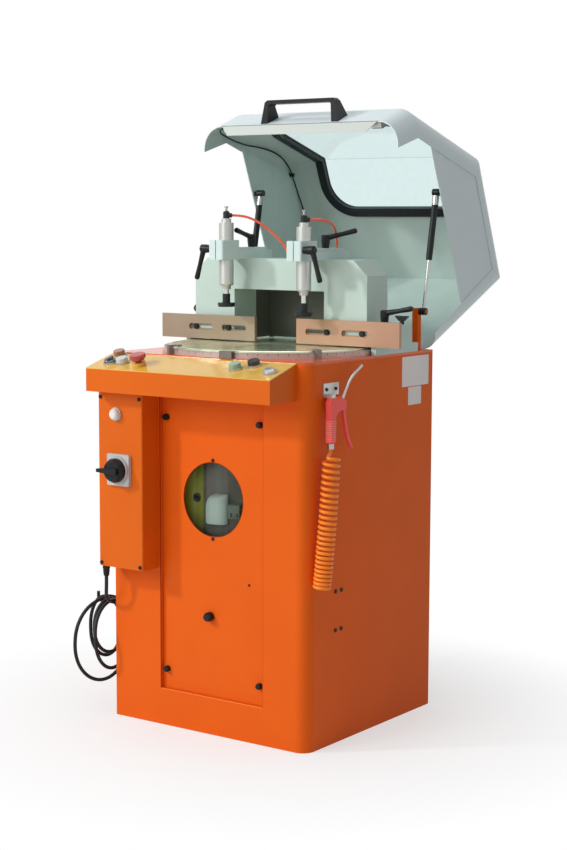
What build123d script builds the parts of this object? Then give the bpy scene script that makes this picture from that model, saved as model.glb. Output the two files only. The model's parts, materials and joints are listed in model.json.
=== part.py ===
from build123d import *
import math
import os

import numpy as np

# Pneumatic cut-off saw with a rising blade under a swivelling table, millimetres.
# Origin on the floor under the table's axis, +X to the operator's right, +Y to the back, +Z up.

# Cabinet
CABINET_WIDTH = 572.0
CABINET_DEPTH = 540.0
CABINET_HEIGHT = 900.0
SHEET = 2.0
CORNER_RADIUS = 31.0
TOP_THICKNESS = 6.0
BASE_LIP = 45.0
BASE_LIP_THICKNESS = 4.0
ANCHOR_HOLE_RADIUS = 6.5
ANCHOR_INSET = 28.0

# Front access panel with its round window, and the rear access panel
OPENING_LEFT = -143.0
OPENING_WIDTH = 305.0
OPENING_BOTTOM = 90.0
OPENING_TOP_GAP = 8.0
PANEL_RECESS = 10.0
PANEL_LANDING = 24.0
PANEL_PLAY = 0.5
WINDOW_RADIUS = 87.5
WINDOW_HEIGHT = 564.0
WINDOW_LAP = 12.0
PANE_THICKNESS = 3.0
PANEL_KNOB_INSET = 14.0
PANEL_KNOB_RADIUS = 7.5
PANEL_KNOB_HEIGHT = 12.0
PULL_KNOB_HEIGHT_ABOVE_FLOOR = 284.0
PULL_KNOB_RADIUS = 11.0
REAR_PANEL_WIDTH = 400.0
REAR_PANEL_HEIGHT = 480.0
REAR_PANEL_BOTTOM = 160.0
REAR_PANEL_LAP = 20.0

# Control console and electrical box
CONSOLE_DEPTH = 101.0
CONSOLE_DROP = 88.0
CONSOLE_FRONT_HEIGHT = 56.0
CONSOLE_BACK_DROP = 2.0
CONSOLE_PLATE = 2.0
BOX_WIDTH = 137.0
BOX_DEPTH = 59.0
BOX_BOTTOM = 385.0
BOX_SCREW_INSET = 8.0
LAMP_DROP = 55.0
LAMP_RADIUS = 14.0
SWITCH_DROP = 188.0
SWITCH_PLATE_WIDTH = 68.0
SWITCH_PLATE_HEIGHT = 76.0
SWITCH_PLATE_THICKNESS = 9.0
SWITCH_COLLAR_HEIGHT = 6.0
SWITCH_KNOB_RADIUS = 29.0
SWITCH_KNOB_HEIGHT = 18.0
SWITCH_GRIP_REACH = 40.0

# Push buttons: place across the console and up its slope
BUTTON_RADIUS = 14.0
BUTTON_STEM_RADIUS = 6.0
BUTTON_TRAVEL = 4.0
BUTTON_CAP = 11.0
BUTTON_PLAY = 0.4
BEZEL_RADIUS = 16.5
BEZEL_HEIGHT = 5.0
STEM_DEPTH = 24.0
WHITE_BUTTON = (-204.0, 40.0)
TAN_BUTTON = (-249.0, 84.0)
GREEN_BUTTON = (124.0, 50.0)
BLACK_BUTTON = (160.0, 74.0)
SELECTOR = (-240.0, 36.0)
KEY_SWITCH = (226.0, 40.0)
EMERGENCY_STOP = (-146.0, 32.0)
MUSHROOM_RADIUS = 20.0
MUSHROOM_HEIGHT = 15.0
MUSHROOM_COLLAR = 10.0
SELECTOR_HEIGHT = 10.0
KEYWAY_DEPTH = 3.0

# Swivelling table
TABLE_RADIUS = 258.0
TABLE_THICKNESS = 12.0
RING_RIM_WIDTH = 12.4
RING_FLOOR = 5.0
RING_RIM = 8.0
RING_LEDGE = 20.0
TABLE_PLAY = 0.6
TOP_HOLE_INSET = 3.0
SPIGOT_WIDTH = 16.0
SLOT_WIDTH = 8.0
CLIP_ANGLES = (-118.0, -33.0, 52.0, 128.0)
CLIP_WIDTH = 12.0
CLIP_HEIGHT_OVER_TABLE = 4.0
LATCH_X = 56.0
LATCH_WIDTH = 36.0

# Saw unit under the table
BLADE_RADIUS = 175.0
BLADE_THICKNESS = 3.2
BLADE_TEETH = 48
TOOTH_DEPTH = 6.0
BLADE_TOP_BELOW_TABLE = 5.0
LIFT_STROKE = 95.0
FLANGE_RADIUS = 38.0
FLANGE_THICKNESS = 6.0
MOTOR_RADIUS = 64.0
MOTOR_LENGTH = 175.0
MOTOR_GAP_TO_BLADE = 26.0
COLUMN_RADIUS = 15.0
COLUMN_SPACING = 220.0
SLIDE_PLAY = 0.06
CARRIAGE_THICKNESS = 44.0
CARRIAGE_ABOVE_AXIS = 50.0
CARRIAGE_BELOW_AXIS = 90.0
LIFT_BARREL_RADIUS = 30.0
LIFT_BARREL_LENGTH = 158.0
LIFT_ROD_RADIUS = 10.0
FRAME_FOOT_GAP = 60.0
FRAME_PLATE = 14.0

# Fences, their bases and the clamp gantry
FENCE_GAP_HALF = 63.0
FENCE_LENGTH = 294.0
FENCE_HEIGHT = 60.0
FENCE_THICKNESS = 9.8
FENCE_ABOVE_TABLE = 3.0
FENCE_BACK_GAP = 0.2
FENCE_SLOT_LENGTH = 75.0
FENCE_SLOT_WIDTH = 15.0
FENCE_SLOT_STEP = 6.0
FENCE_SLOT_CENTRES = (64.5, 169.0)
FENCE_BOLT_OFFSETS = (20.5, 18.0)
FENCE_BOLT_HEAD_RADIUS = 6.5
FENCE_BOLT_RADIUS = 4.0
FENCE_BOLT_PLAY = 0.5
FENCE_BOLT_DEPTH = 20.0
BASE_FRONT = 10.0
BASE_END_DEPTH = 47.0
BASE_HEIGHT = 54.0
BASE_TABLE_GAP = 4.0
FOOT_BACK = 200.0
FOOT_BOLTS = ((266.0, 128.0), (240.0, 178.0))
GANTRY_FRONT = 13.0
GANTRY_DEPTH = 90.0
GANTRY_HALF_WIDTH = 258.0
GANTRY_TOP_HALF_WIDTH = 219.0
GANTRY_SHOULDER_RISE = 111.0
GANTRY_RISE = 148.0
GANTRY_OPENING_HALF = 135.0
GANTRY_OPENING_RISE = 72.0
GANTRY_WALL = 8.0
SIDE_SCREW_YS = (-153.0, -129.0)
SIDE_SCREW_HEIGHTS = (270.0, 362.0)
PANEL_SCREW = (116.0, 373.0)
SIDE_KNOB_RADIUS = 10.0
SIDE_KNOB_RISE = 19.0
DEFLECTOR_DEPTH = 65.0
DEFLECTOR_RISE = 15.0
WING_KNOB_X = 343.0

# Pneumatic clamps
CLAMP_X = 116.0
CLAMP_Y = -45.0
CLAMP_ARM_WIDTH = 40.0
CLAMP_ARM_HEIGHT = 27.0
CLAMP_ARM_BACK = 118.0
CLAMP_BLOCK_HALF = 22.0
CLAMP_BLOCK_FRONT = 43.0
CLAMP_BLOCK_BACK = 26.0
CLAMP_BLOCK_LOW = 2.0
CLAMP_BLOCK_HEIGHT = 47.0
CLAMP_SLIT = 3.0
CYLINDER_RADIUS = 18.0
CYLINDER_LENGTH = 152.0
CYLINDER_RISE = 87.0
CYLINDER_NECK = 12.0
CYLINDER_NECK_HEIGHT = 10.0
RIGHT_CYLINDER_DROP = 9.0
RIGHT_PAD_DROP = 7.0
CLAMP_ROD_RADIUS = 6.0
PAD_RADIUS = 21.0
PAD_THICKNESS = 10.0
PAD_STEM_RADIUS = 9.5
PAD_STEM_HEIGHT = 22.0
PAD_GAP = 21.0
ELBOW_RADIUS = 8.0
ELBOW_HEIGHT = 16.0
ELBOW_PORT = 14.0
ELBOW_WAY = (0.8, 0.6, 0.0)
AIR_TUBE_RADIUS = 3.0
AIR_TUBE_RUN = 22.0

# Clamp levers
LEFT_LEVER_Y = 58.0
RIGHT_LEVER_Y = 46.0
LEVER_HUB_RADIUS = 10.5
LEVER_HUB_HEIGHT = 32.0
LEVER_ARM = 74.0
LEVER_TIP_RADIUS = 5.5
LEVER_ROOT_RADIUS = 7.0
LEVER_STUD_RADIUS = 5.0
LEVER_STUD_LENGTH = 14.0
STUD_PLAY = 0.08
BEAM_LEVER_X = 295.0

# Hood, drawn open, with its hinge and gas struts
HOOD_HALF_WIDTH = 292.0
HOOD_WALL = 2.5
HOOD_EDGE_RADIUS = 55.0
HOOD_FLANGE = 67.0
HOOD_PANEL_LAP = 9.0
HINGE_BEHIND = 14.0
HINGE_DROP = 8.0
FRONT_FROM_HINGE = (-194.0, 560.0)
BEND_FRONT_FROM_HINGE = (-104.0, 593.0)
BEND_TOP_FROM_HINGE = (228.0, 490.0)
BEND_BACK_FROM_HINGE = (361.0, 166.0)
HOOD_LIP_DROP = 64.0
SIDE_TOP_FROM_HINGE = -40.0
SIDE_LOW_ALONG = 157.0
TIP_FROM_HINGE = (-14.0, 50.0)
HOOD_END_GAP = 12.0
HOOD_STRIP_DROP = (12.0, 25.0)
HOOD_STRIP_HALF_TOP = 233.0
HOOD_STRIP_HALF_LOW = 208.0
HOOD_CLOSED_ANGLE = 63.0
GLASS_HALF_WIDTH = 220.0
GLASS_UP_SLOPE = 276.0
GLASS_DOWN_SLOPE = 152.0
GLASS_CORNER_RADIUS = 85.0
GLASS_THICKNESS = 3.0
GLASS_INSET = 3.0
TRIM_HALF_WIDTH = 12.0
TRIM_OUTSIDE = 4.0
TRIM_INSIDE = 12.0
HANDLE_HALF_SPAN = 104.0
HANDLE_SPLAY = 12.0
HANDLE_LEG = 20.0
HANDLE_RISE = 58.0
HANDLE_BAR = 10.0
HANDLE_SETBACK = 6.0
HANDLE_FOOT_DEPTH = 48.0
HANDLE_BAR_DEPTH = 22.0
HINGE_X = 170.0
HINGE_LENGTH = 90.0
KNUCKLE_RADIUS = 6.5
KNUCKLE_MIDDLE = 30.0
HINGE_PIN_RADIUS = 3.0
HINGE_PLAY = 0.06
HINGE_LEAF = 3.0
HINGE_LEAF_LENGTH = 42.0
STRUT_X = 270.0
STRUT_HIGH_FROM_HINGE = (21.0, 394.0)
STRUT_TUBE_RADIUS = 8.0
STRUT_TUBE_LENGTH = 160.0
STRUT_ROD_RADIUS = 4.0
STRUT_ROD_LENGTH = 200.0
STRUT_EYE_RADIUS = 9.0
STRUT_EYE_HALF = 8.5
STRUT_PIN_RADIUS = 4.0
STRUT_STUD_GAP = 0.5
POST_SIDE = 16.0
POST_HEIGHT = 102.0
POST_INSET = 21.0
POST_PIN_DROP = 8.0
POST_WALL_GAP = 2.0

# Blow gun with its spiral hose
GUN_STANDOFF = 20.0
GUN_Y = -206.0
GUN_HANDLE_LENGTH = 72.0
GUN_HANDLE_RADIUS = 8.5
GUN_HEAD_HEIGHT = 32.0
GUN_HALF_THICKNESS = 8.0
GUN_HANG = 4.0
GUN_BRACKET = (-211.0, -150.0)
GUN_BRACKET_DROP = 50.0
GUN_BRACKET_HEIGHT = 28.0
GUN_BRACKET_THICKNESS = 3.0
NOZZLE_RADIUS = 3.5
TRIGGER_PIN_RADIUS = 2.0
HOSE_RADIUS = 4.0
HOSE_CURLS = 26
HOSE_CURL_RADIUS = 17.5
HOSE_STANDOFF = 27.0
HOSE_TOP_Y = -213.0
HOSE_TOP_GAP = 18.0
HOSE_LOW_Y = -249.0
HOSE_FALL = 296.0
HOSE_BOW = 3.0
HOSE_SLACK = 0.25
HOSE_FIRST_TURN = 0.5
WALL_PORT_DROP = 0.5
WALL_PORT_LENGTH = 6.0
COLLAR_RADIUS = 7.5
COLLAR_LENGTH = 12.0

# Mains lead with its hank on the left side
CORD_RADIUS = 4.5
GLAND_PLACE = (-272.0, -320.0)
GLAND_RADIUS = 9.0
GLAND_LENGTH = 26.0
HOOK_Y = -245.0
HOOK_HEIGHT = 274.0
HOOK_REACH = 79.0
HOOK_RADIUS = 4.0
HOOK_TIP = 22.0
LOOP_PITCH = 14.0
LOOP_FIRST_REACH = 12.0
LOOP_HEIGHTS = (170.0, 133.0, 206.0, 147.0)
LOOP_HALF_WIDTHS = (55.0, 43.0, 71.0, 41.0)
LOOP_SWINGS = (10.0, 23.0, 28.0, 30.0)
LOOP_SHIFTS = (20.0, 13.0, 24.0, 0.0)
LOOP_LEAVING = (0.6, 0.8, 0.0)
CORD_GAP = 0.3
LEAD_BENDS = ((-272.0, -320.0, 335.0), (-287.0, -305.0, 302.0))
LEAD_RUN = 30.0
PLUG_RADIUS = 17.0
PLUG_LENGTH = 52.0
TAIL_RUN = 28.0
TAIL_BENDS = ((-322.0, -198.0, 271.0), (-312.0, -176.0, 248.0), (-308.0, -164.0, 218.0))
TAIL_END = (-308.0, -164.0, 190.0)

# Switch cable inside the hood
CABLE_RADIUS = 2.0
CABLE_RUN = 20.0
CABLE_CLIP_SIDE = 10.0
CABLE_CLIP_PLAY = 0.4
CABLE_BENDS = ((-274.0, -150.0, 546.0), (-281.0, -124.0, 540.0), (-283.0, -78.0, 528.0), (-282.0, -32.0, 519.0),
               (-280.0, 16.0, 516.0), (-276.0, 61.0, 510.0), (-274.5, 102.0, 500.0), (-277.0, 136.0, 486.0),
               (-282.0, 171.0, 462.0), (-282.0, 190.0, 430.0), (-283.0, 210.0, 396.0), (-282.0, 230.0, 364.0),
               (-282.0, 237.0, 344.0))
CABLE_CLIP_BEND = 8

# Air inlet at the back
INLET_X = -200.0
INLET_HEIGHT = 120.0
INLET_RADIUS = 14.0
INLET_LENGTH = 26.0
INLET_BORE_RADIUS = 6.6
INLET_BORE_LENGTH = 18.0

HALF_WIDTH = CABINET_WIDTH / 2
HALF_DEPTH = CABINET_DEPTH / 2
RING_RADIUS = TABLE_RADIUS + TABLE_PLAY + RING_RIM_WIDTH
RING_INNER_RADIUS = TABLE_RADIUS - RING_LEDGE
TOP_HOLE_RADIUS = RING_INNER_RADIUS - TOP_HOLE_INSET
GUN_X = HALF_WIDTH + GUN_STANDOFF
HOSE_X = HALF_WIDTH + HOSE_STANDOFF
RING_TOP = CABINET_HEIGHT + RING_FLOOR
TABLE_TOP = RING_TOP + TABLE_THICKNESS
CONSOLE_BOTTOM = CABINET_HEIGHT - CONSOLE_DROP
CONSOLE_FRONT_TOP = CONSOLE_BOTTOM + CONSOLE_FRONT_HEIGHT
CONSOLE_BACK_TOP = CABINET_HEIGHT - CONSOLE_BACK_DROP
CONSOLE_FRONT = -HALF_DEPTH - CONSOLE_DEPTH
CONSOLE_RIGHT = HALF_WIDTH - CORNER_RADIUS
CONSOLE_ANGLE = math.atan2(CONSOLE_BACK_TOP - CONSOLE_FRONT_TOP, CONSOLE_DEPTH)
BLADE_AXIS = TABLE_TOP - BLADE_TOP_BELOW_TABLE - BLADE_RADIUS
BASE_LOW = TABLE_TOP + BASE_TABLE_GAP
BASE_TOP = BASE_LOW + BASE_HEIGHT
GANTRY_BACK = GANTRY_FRONT + GANTRY_DEPTH
GANTRY_SHOULDER = BASE_TOP + GANTRY_SHOULDER_RISE
GANTRY_TOP = BASE_TOP + GANTRY_RISE
GANTRY_OPENING_TOP = BASE_TOP + GANTRY_OPENING_RISE
DEFLECTOR_BACK = GANTRY_BACK + DEFLECTOR_DEPTH
DEFLECTOR_TOP = GANTRY_OPENING_TOP + DEFLECTOR_RISE
CYLINDER_TOP = GANTRY_TOP + CYLINDER_RISE
HOOD_HINGE = (HALF_DEPTH + HINGE_BEHIND, CABINET_HEIGHT - HINGE_DROP)
FENCE_LOW = TABLE_TOP + FENCE_ABOVE_TABLE
FENCE_OUTER = FENCE_GAP_HALF + FENCE_LENGTH
GUN_BRACKET_LOW = CABINET_HEIGHT - GUN_BRACKET_DROP - GUN_BRACKET_HEIGHT
GUN_HEAD_TOP = GUN_BRACKET_LOW - GUN_HANG
GUN_HEAD_LOW = GUN_HEAD_TOP - GUN_HEAD_HEIGHT
GUN_HANDLE_BOTTOM = GUN_HEAD_LOW - GUN_HANDLE_LENGTH
HOSE_TOP = (HOSE_TOP_Y, GUN_HANDLE_BOTTOM - COLLAR_LENGTH - HOSE_TOP_GAP)
HOSE_LOW = (HOSE_LOW_Y, HOSE_TOP[1] - HOSE_FALL)
WALL_FITTING = (HOSE_LOW_Y + HOSE_CURL_RADIUS, HOSE_LOW[1] - WALL_PORT_DROP)


# Shared shapes

def slab(x, y, z):
    """Block between a low and a high value on each axis."""
    spans = (x, y, z)
    middle = [(low + high) / 2 for low, high in spans]
    size = [high - low for low, high in spans]
    return Pos(*middle) * Box(*size)


def across_x(outline, low, high):
    """Solid with an outline of (y, z) points between two x values."""
    face = Plane.YZ.offset(low) * make_face(Polyline(*outline, close=True))
    return extrude(face, amount=high - low, dir=(1, 0, 0))


def across_y(outline, low, high):
    """Solid with an outline of (x, z) points between two y values."""
    plane = Plane(origin=(0, low, 0), x_dir=(1, 0, 0), z_dir=(0, -1, 0))
    face = plane * make_face(Polyline(*outline, close=True))
    return extrude(face, amount=high - low, dir=(0, 1, 0))


def across_z(outline, low, high):
    """Solid with an outline of (x, y) points between two heights."""
    face = Pos(0, 0, low) * make_face(Polyline(*outline, close=True))
    return extrude(face, amount=high - low, dir=(0, 0, 1))


def turned(outline, base, axis=(0, 0, 1)):
    """Turned piece: (radius, height) points spun about a line through base."""
    face = Plane.XZ * make_face(Polyline(*outline, close=True))
    return Plane(origin=base, z_dir=axis) * revolve(face, Axis.Z)


def drum(base, axis, radius, length, bore=0.0):
    """Plain cylinder or tube that starts at base and runs along axis."""
    return turned([(bore, 0), (radius, 0), (radius, length), (bore, length)], base, axis)


def bar(start, end, radius):
    """Round bar between two points."""
    run = Vector(*end) - Vector(*start)
    return drum(start, run, radius, run.length)


def mirrored(shape):
    """Same piece on the other side of the machine."""
    return mirror(shape, about=Plane.YZ)


def save(node, *shapes):
    """Writes one node, each piece in it as its own solid."""
    solids = [solid for shape in shapes for solid in shape.solids()]
    export_step(Compound(solids), f"parts/{node}.step")


# Tubes along routes

def eased_route(points):
    """Straight runs joined by arcs as large as the runs allow, with the radii."""
    places = [Vector(*point) for point in points]
    radii = []
    for before, here, after in zip(places, places[1:], places[2:]):
        turn = math.radians((here - before).get_angle(after - here))
        shorter = min((here - before).length, (after - here).length)
        radii.append(0.45 * shorter / math.tan(turn / 2))
    return FilletPolyline(*places, radius=radii), radii


def tube_along(path, radius, bore=0.0, sides=0):
    """Sweeps a round or many-sided section along a path."""
    start = Plane(origin=path @ 0, z_dir=path % 0)
    section = RegularPolygon(radius, sides) if sides else Circle(radius)
    if bore:
        section -= Circle(bore)
    return sweep(start * section, path=path)


def two_arcs(start, start_way, end, end_way):
    """Two tangent arcs from one point and direction to another."""
    run = end - start
    ways = start_way + end_way
    square = 2 * (1 - start_way.dot(end_way))
    along = run.dot(ways)
    reach = (-along + math.sqrt(along ** 2 + square * run.dot(run))) / square
    middle = (start + end + (start_way - end_way) * reach) * 0.5
    back = end_way * -1
    first = TangentArc(start, middle, tangent=start_way)
    second = TangentArc(end, middle, tangent=back)
    return [first, second]


def biarc_path(stations):
    """Unbroken path through (point, direction) stations."""
    edges = []
    for (start, start_way), (end, end_way) in zip(stations, stations[1:]):
        edges += two_arcs(start, start_way, end, end_way)
    return edges


def least_gap(wire, radius, skip, samples):
    """Least clear gap of a tube to itself, measured on points along its wire."""
    points = np.array([tuple(wire @ (index / samples)) for index in range(samples + 1)])
    step = wire.length / samples
    apart = int(skip / step) + 1
    least = math.inf
    for index in range(len(points) - apart):
        distance = np.linalg.norm(points[index + apart:] - points[index], axis=1).min()
        least = min(least, float(distance))
    return least - 2 * radius


# Cabinet

def cabinet_plan(inset):
    """Outline of the cabinet from above, with one rounded corner."""
    plan = Rectangle(CABINET_WIDTH - 2 * inset, CABINET_DEPTH - 2 * inset)
    if inset >= CORNER_RADIUS:
        return plan
    corner = plan.vertices().sort_by(lambda vertex: vertex.X - vertex.Y)[-1]
    return fillet(corner, CORNER_RADIUS - inset)


OPENING_TOP = CONSOLE_BOTTOM - OPENING_TOP_GAP
OPENING_X = (OPENING_LEFT, OPENING_LEFT + OPENING_WIDTH)
OPENING_Z = (OPENING_BOTTOM, OPENING_TOP)
PANEL_FACE = -HALF_DEPTH + PANEL_RECESS
PANEL_BACK = PANEL_FACE + SHEET
PANEL_MIDDLE = OPENING_LEFT + OPENING_WIDTH / 2
REAR_PANEL_X = (-REAR_PANEL_WIDTH / 2, REAR_PANEL_WIDTH / 2)
REAR_PANEL_Z = (REAR_PANEL_BOTTOM, REAR_PANEL_BOTTOM + REAR_PANEL_HEIGHT)


def grown(span, amount):
    """Span widened at both ends."""
    return (span[0] - amount, span[1] + amount)


def cord_hook():
    """Bent rod on the left wall that carries the mains lead, in two straight pieces."""
    root = (-HALF_WIDTH, HOOK_Y, HOOK_HEIGHT)
    bend = (-HALF_WIDTH - HOOK_REACH, HOOK_Y, HOOK_HEIGHT)
    tip = (-HALF_WIDTH - HOOK_REACH, HOOK_Y, HOOK_HEIGHT + HOOK_TIP)
    rod = bar(root, bend, HOOK_RADIUS) + bar(bend, tip, HOOK_RADIUS) + Pos(*bend) * Sphere(HOOK_RADIUS)
    mitre = Plane(origin=bend, z_dir=(1, 0, 1))
    return split(rod, bisect_by=mitre, keep=Keep.BOTH).solids()


def anchor_places():
    """Floor anchor holes at the four corners."""
    across = HALF_WIDTH - ANCHOR_INSET
    along = HALF_DEPTH - ANCHOR_INSET
    return [(x, y) for x in (-across, across) for y in (-along, along)]


def strips_round(hole_across, hole_up, across, up, depth):
    """Four flat strips with a rectangular hole between them."""
    return [slab((across[0], hole_across[0]), depth, up), slab((hole_across[1], across[1]), depth, up),
            slab(hole_across, depth, (up[0], hole_up[0])), slab(hole_across, depth, (hole_up[1], up[1]))]


def cabinet_walls(height):
    """Left and right walls, the rounded corner and the strips of the back wall, each a piece of its own."""
    ring = extrude(cabinet_plan(0) - cabinet_plan(SHEET), height)
    tall = (0, height)
    left = slab((-HALF_WIDTH, -HALF_WIDTH + SHEET), (-HALF_DEPTH + SHEET, HALF_DEPTH), tall)
    right = slab((HALF_WIDTH - SHEET, HALF_WIDTH), (-HALF_DEPTH + CORNER_RADIUS, HALF_DEPTH), tall)
    corner = ring & slab((HALF_WIDTH - CORNER_RADIUS, HALF_WIDTH), (-HALF_DEPTH, -HALF_DEPTH + CORNER_RADIUS), tall)
    across = (-HALF_WIDTH + SHEET, HALF_WIDTH - SHEET)
    depth = (HALF_DEPTH - SHEET, HALF_DEPTH)
    back = strips_round(grown(REAR_PANEL_X, -REAR_PANEL_LAP), grown(REAR_PANEL_Z, -REAR_PANEL_LAP),
                        across, tall, depth)
    inlet = drum((INLET_X, HALF_DEPTH - SHEET, INLET_HEIGHT), (0, 1, 0), INLET_BORE_RADIUS, SHEET)
    return [left, right, corner] + [strip - inlet for strip in back]


def front_wall(height):
    """Front wall, and the rim and landing of the recess that the access panel lies in, all in flat strips."""
    face = strips_round(OPENING_X, OPENING_Z, (-HALF_WIDTH, HALF_WIDTH - CORNER_RADIUS), (0, height),
                        (-HALF_DEPTH, -HALF_DEPTH + SHEET))
    rim = strips_round(OPENING_X, OPENING_Z, grown(OPENING_X, SHEET), grown(OPENING_Z, SHEET),
                       (-HALF_DEPTH + SHEET, PANEL_BACK + SHEET))
    landing = strips_round(grown(OPENING_X, -PANEL_LANDING), grown(OPENING_Z, -PANEL_LANDING),
                           OPENING_X, OPENING_Z, (PANEL_BACK, PANEL_BACK + SHEET))
    return face + rim + landing


def base_lips():
    """Four strips inside the walls' feet with the anchor holes."""
    inner = extrude(cabinet_plan(SHEET), BASE_LIP_THICKNESS)
    for x, y in anchor_places():
        inner -= drum((x, y, 0), (0, 0, 1), ANCHOR_HOLE_RADIUS, BASE_LIP_THICKNESS)
    wide = (-HALF_WIDTH, HALF_WIDTH)
    deep = (-HALF_DEPTH, HALF_DEPTH)
    thick = (0, BASE_LIP_THICKNESS)
    left, right, front, back = (
        slab((-HALF_WIDTH, -HALF_WIDTH + BASE_LIP), grown(deep, -BASE_LIP), thick),
        slab((HALF_WIDTH - BASE_LIP, HALF_WIDTH), grown(deep, -BASE_LIP), thick),
        slab(wide, (-HALF_DEPTH, -HALF_DEPTH + BASE_LIP), thick),
        slab(wide, (HALF_DEPTH - BASE_LIP, HALF_DEPTH), thick))
    return [inner & strip for strip in (left, right, front, back)]


def cabinet_shell():
    height = CABINET_HEIGHT - TOP_THICKNESS
    return cabinet_walls(height) + front_wall(height) + base_lips()


def top_plate():
    plate = extrude(Pos(0, 0, CABINET_HEIGHT - TOP_THICKNESS) * cabinet_plan(0), TOP_THICKNESS)
    return plate - drum((0, 0, CABINET_HEIGHT - TOP_THICKNESS), (0, 0, 1), TOP_HOLE_RADIUS, TOP_THICKNESS)


def front_panel():
    panel = slab(grown(OPENING_X, -PANEL_PLAY), (PANEL_FACE, PANEL_BACK), grown(OPENING_Z, -PANEL_PLAY))
    return panel - drum((PANEL_MIDDLE, PANEL_FACE, WINDOW_HEIGHT), (0, 1, 0), WINDOW_RADIUS, SHEET)


def rear_panel():
    return slab(REAR_PANEL_X, (HALF_DEPTH, HALF_DEPTH + SHEET), REAR_PANEL_Z)


def window_pane():
    return drum((PANEL_MIDDLE, PANEL_BACK, WINDOW_HEIGHT), (0, 1, 0), WINDOW_RADIUS + WINDOW_LAP, PANE_THICKNESS)


# Console and electrical box

def on_console(place, lift=0.0):
    """Plane on the console plate at a place across it and up its slope."""
    across, up = place
    y = CONSOLE_FRONT + up * math.cos(CONSOLE_ANGLE) - lift * math.sin(CONSOLE_ANGLE)
    z = CONSOLE_FRONT_TOP + up * math.sin(CONSOLE_ANGLE) + lift * math.cos(CONSOLE_ANGLE)
    normal = (0, -math.sin(CONSOLE_ANGLE), math.cos(CONSOLE_ANGLE))
    return Plane(origin=(across, y, z), x_dir=(1, 0, 0), z_dir=normal)


PLATE_DROP = CONSOLE_PLATE / math.cos(CONSOLE_ANGLE)
CONSOLE_PLACES = (WHITE_BUTTON, TAN_BUTTON, GREEN_BUTTON, BLACK_BUTTON, SELECTOR, KEY_SWITCH, EMERGENCY_STOP)


def console_housing():
    outline = [(-HALF_DEPTH, CONSOLE_BOTTOM), (CONSOLE_FRONT, CONSOLE_BOTTOM),
               (CONSOLE_FRONT, CONSOLE_FRONT_TOP - PLATE_DROP), (-HALF_DEPTH, CONSOLE_BACK_TOP - PLATE_DROP)]
    inside = [(-HALF_DEPTH, CONSOLE_BOTTOM + SHEET), (CONSOLE_FRONT + SHEET, CONSOLE_BOTTOM + SHEET),
              (CONSOLE_FRONT + SHEET, CONSOLE_BACK_TOP), (-HALF_DEPTH, CONSOLE_BACK_TOP)]
    housing = across_x(outline, -HALF_WIDTH, CONSOLE_RIGHT)
    return housing - across_x(inside, -HALF_WIDTH + SHEET, CONSOLE_RIGHT - SHEET)


def console_plate():
    outline = [(CONSOLE_FRONT, CONSOLE_FRONT_TOP - PLATE_DROP), (-HALF_DEPTH, CONSOLE_BACK_TOP - PLATE_DROP),
               (-HALF_DEPTH, CONSOLE_BACK_TOP), (CONSOLE_FRONT, CONSOLE_FRONT_TOP)]
    plate = across_x(outline, -HALF_WIDTH, CONSOLE_RIGHT)
    hole = Pos(0, 0, -CONSOLE_PLATE) * Cylinder(BUTTON_STEM_RADIUS + BUTTON_PLAY, 4 * CONSOLE_PLATE)
    for place in CONSOLE_PLACES:
        plate -= on_console(place) * hole
    return plate


BOX_X = (-HALF_WIDTH, -HALF_WIDTH + BOX_WIDTH)
BOX_MIDDLE = -HALF_WIDTH + BOX_WIDTH / 2
BOX_FACE = -HALF_DEPTH - BOX_DEPTH
LAMP_HEIGHT = CONSOLE_BOTTOM - LAMP_DROP
SWITCH_HEIGHT = CONSOLE_BOTTOM - SWITCH_DROP


def electrical_box():
    box = slab(BOX_X, (BOX_FACE, -HALF_DEPTH), (BOX_BOTTOM, CONSOLE_BOTTOM))
    front_edges = box.edges().filter_by(Axis.Z).group_by(Axis.Y)[0]
    box = fillet(front_edges, 2 * SHEET)
    inside = (BOX_BOTTOM + SHEET, CONSOLE_BOTTOM - SHEET)
    return box - slab(grown(BOX_X, -SHEET), (BOX_FACE + SHEET, -HALF_DEPTH), inside)


def bezel(place):
    """Metal ring round a push button."""
    return on_console(place) * drum((0, 0, 0), (0, 0, 1), BEZEL_RADIUS, BEZEL_HEIGHT, BUTTON_RADIUS + BUTTON_PLAY)


def seat_ring(place, radius, height):
    """Metal seat under a turning or mushroom head."""
    return on_console(place) * drum((0, 0, 0), (0, 0, 1), radius, height, BUTTON_STEM_RADIUS + BUTTON_PLAY)


def control_bezels():
    rings = [bezel(place) for place in (WHITE_BUTTON, TAN_BUTTON, GREEN_BUTTON, BLACK_BUTTON)]
    rings += [seat_ring(place, BEZEL_RADIUS, BEZEL_HEIGHT) for place in (SELECTOR, KEY_SWITCH)]
    rings.append(seat_ring(EMERGENCY_STOP, BEZEL_RADIUS, MUSHROOM_COLLAR))
    return rings


def pilot_lamp():
    lens = [(0, 0), (LAMP_RADIUS + 2, 0), (LAMP_RADIUS + 2, 5), (LAMP_RADIUS, 6),
            (LAMP_RADIUS - 1, 12), (LAMP_RADIUS - 5, 16), (0, 17)]
    return turned(lens, (BOX_MIDDLE - 10, BOX_FACE, LAMP_HEIGHT), (0, -1, 0))


def switch_plate():
    """Square plate with a round collar."""
    half_width = SWITCH_PLATE_WIDTH / 2
    half_height = SWITCH_PLATE_HEIGHT / 2
    face = BOX_FACE - SWITCH_PLATE_THICKNESS
    plate = slab((BOX_MIDDLE - half_width, BOX_MIDDLE + half_width), (face, BOX_FACE),
                 (SWITCH_HEIGHT - half_height, SWITCH_HEIGHT + half_height))
    plate = fillet(plate.edges().filter_by(Axis.Y), 4)
    return plate + drum((BOX_MIDDLE, face, SWITCH_HEIGHT), (0, -1, 0), half_width - 1, SWITCH_COLLAR_HEIGHT)


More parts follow.
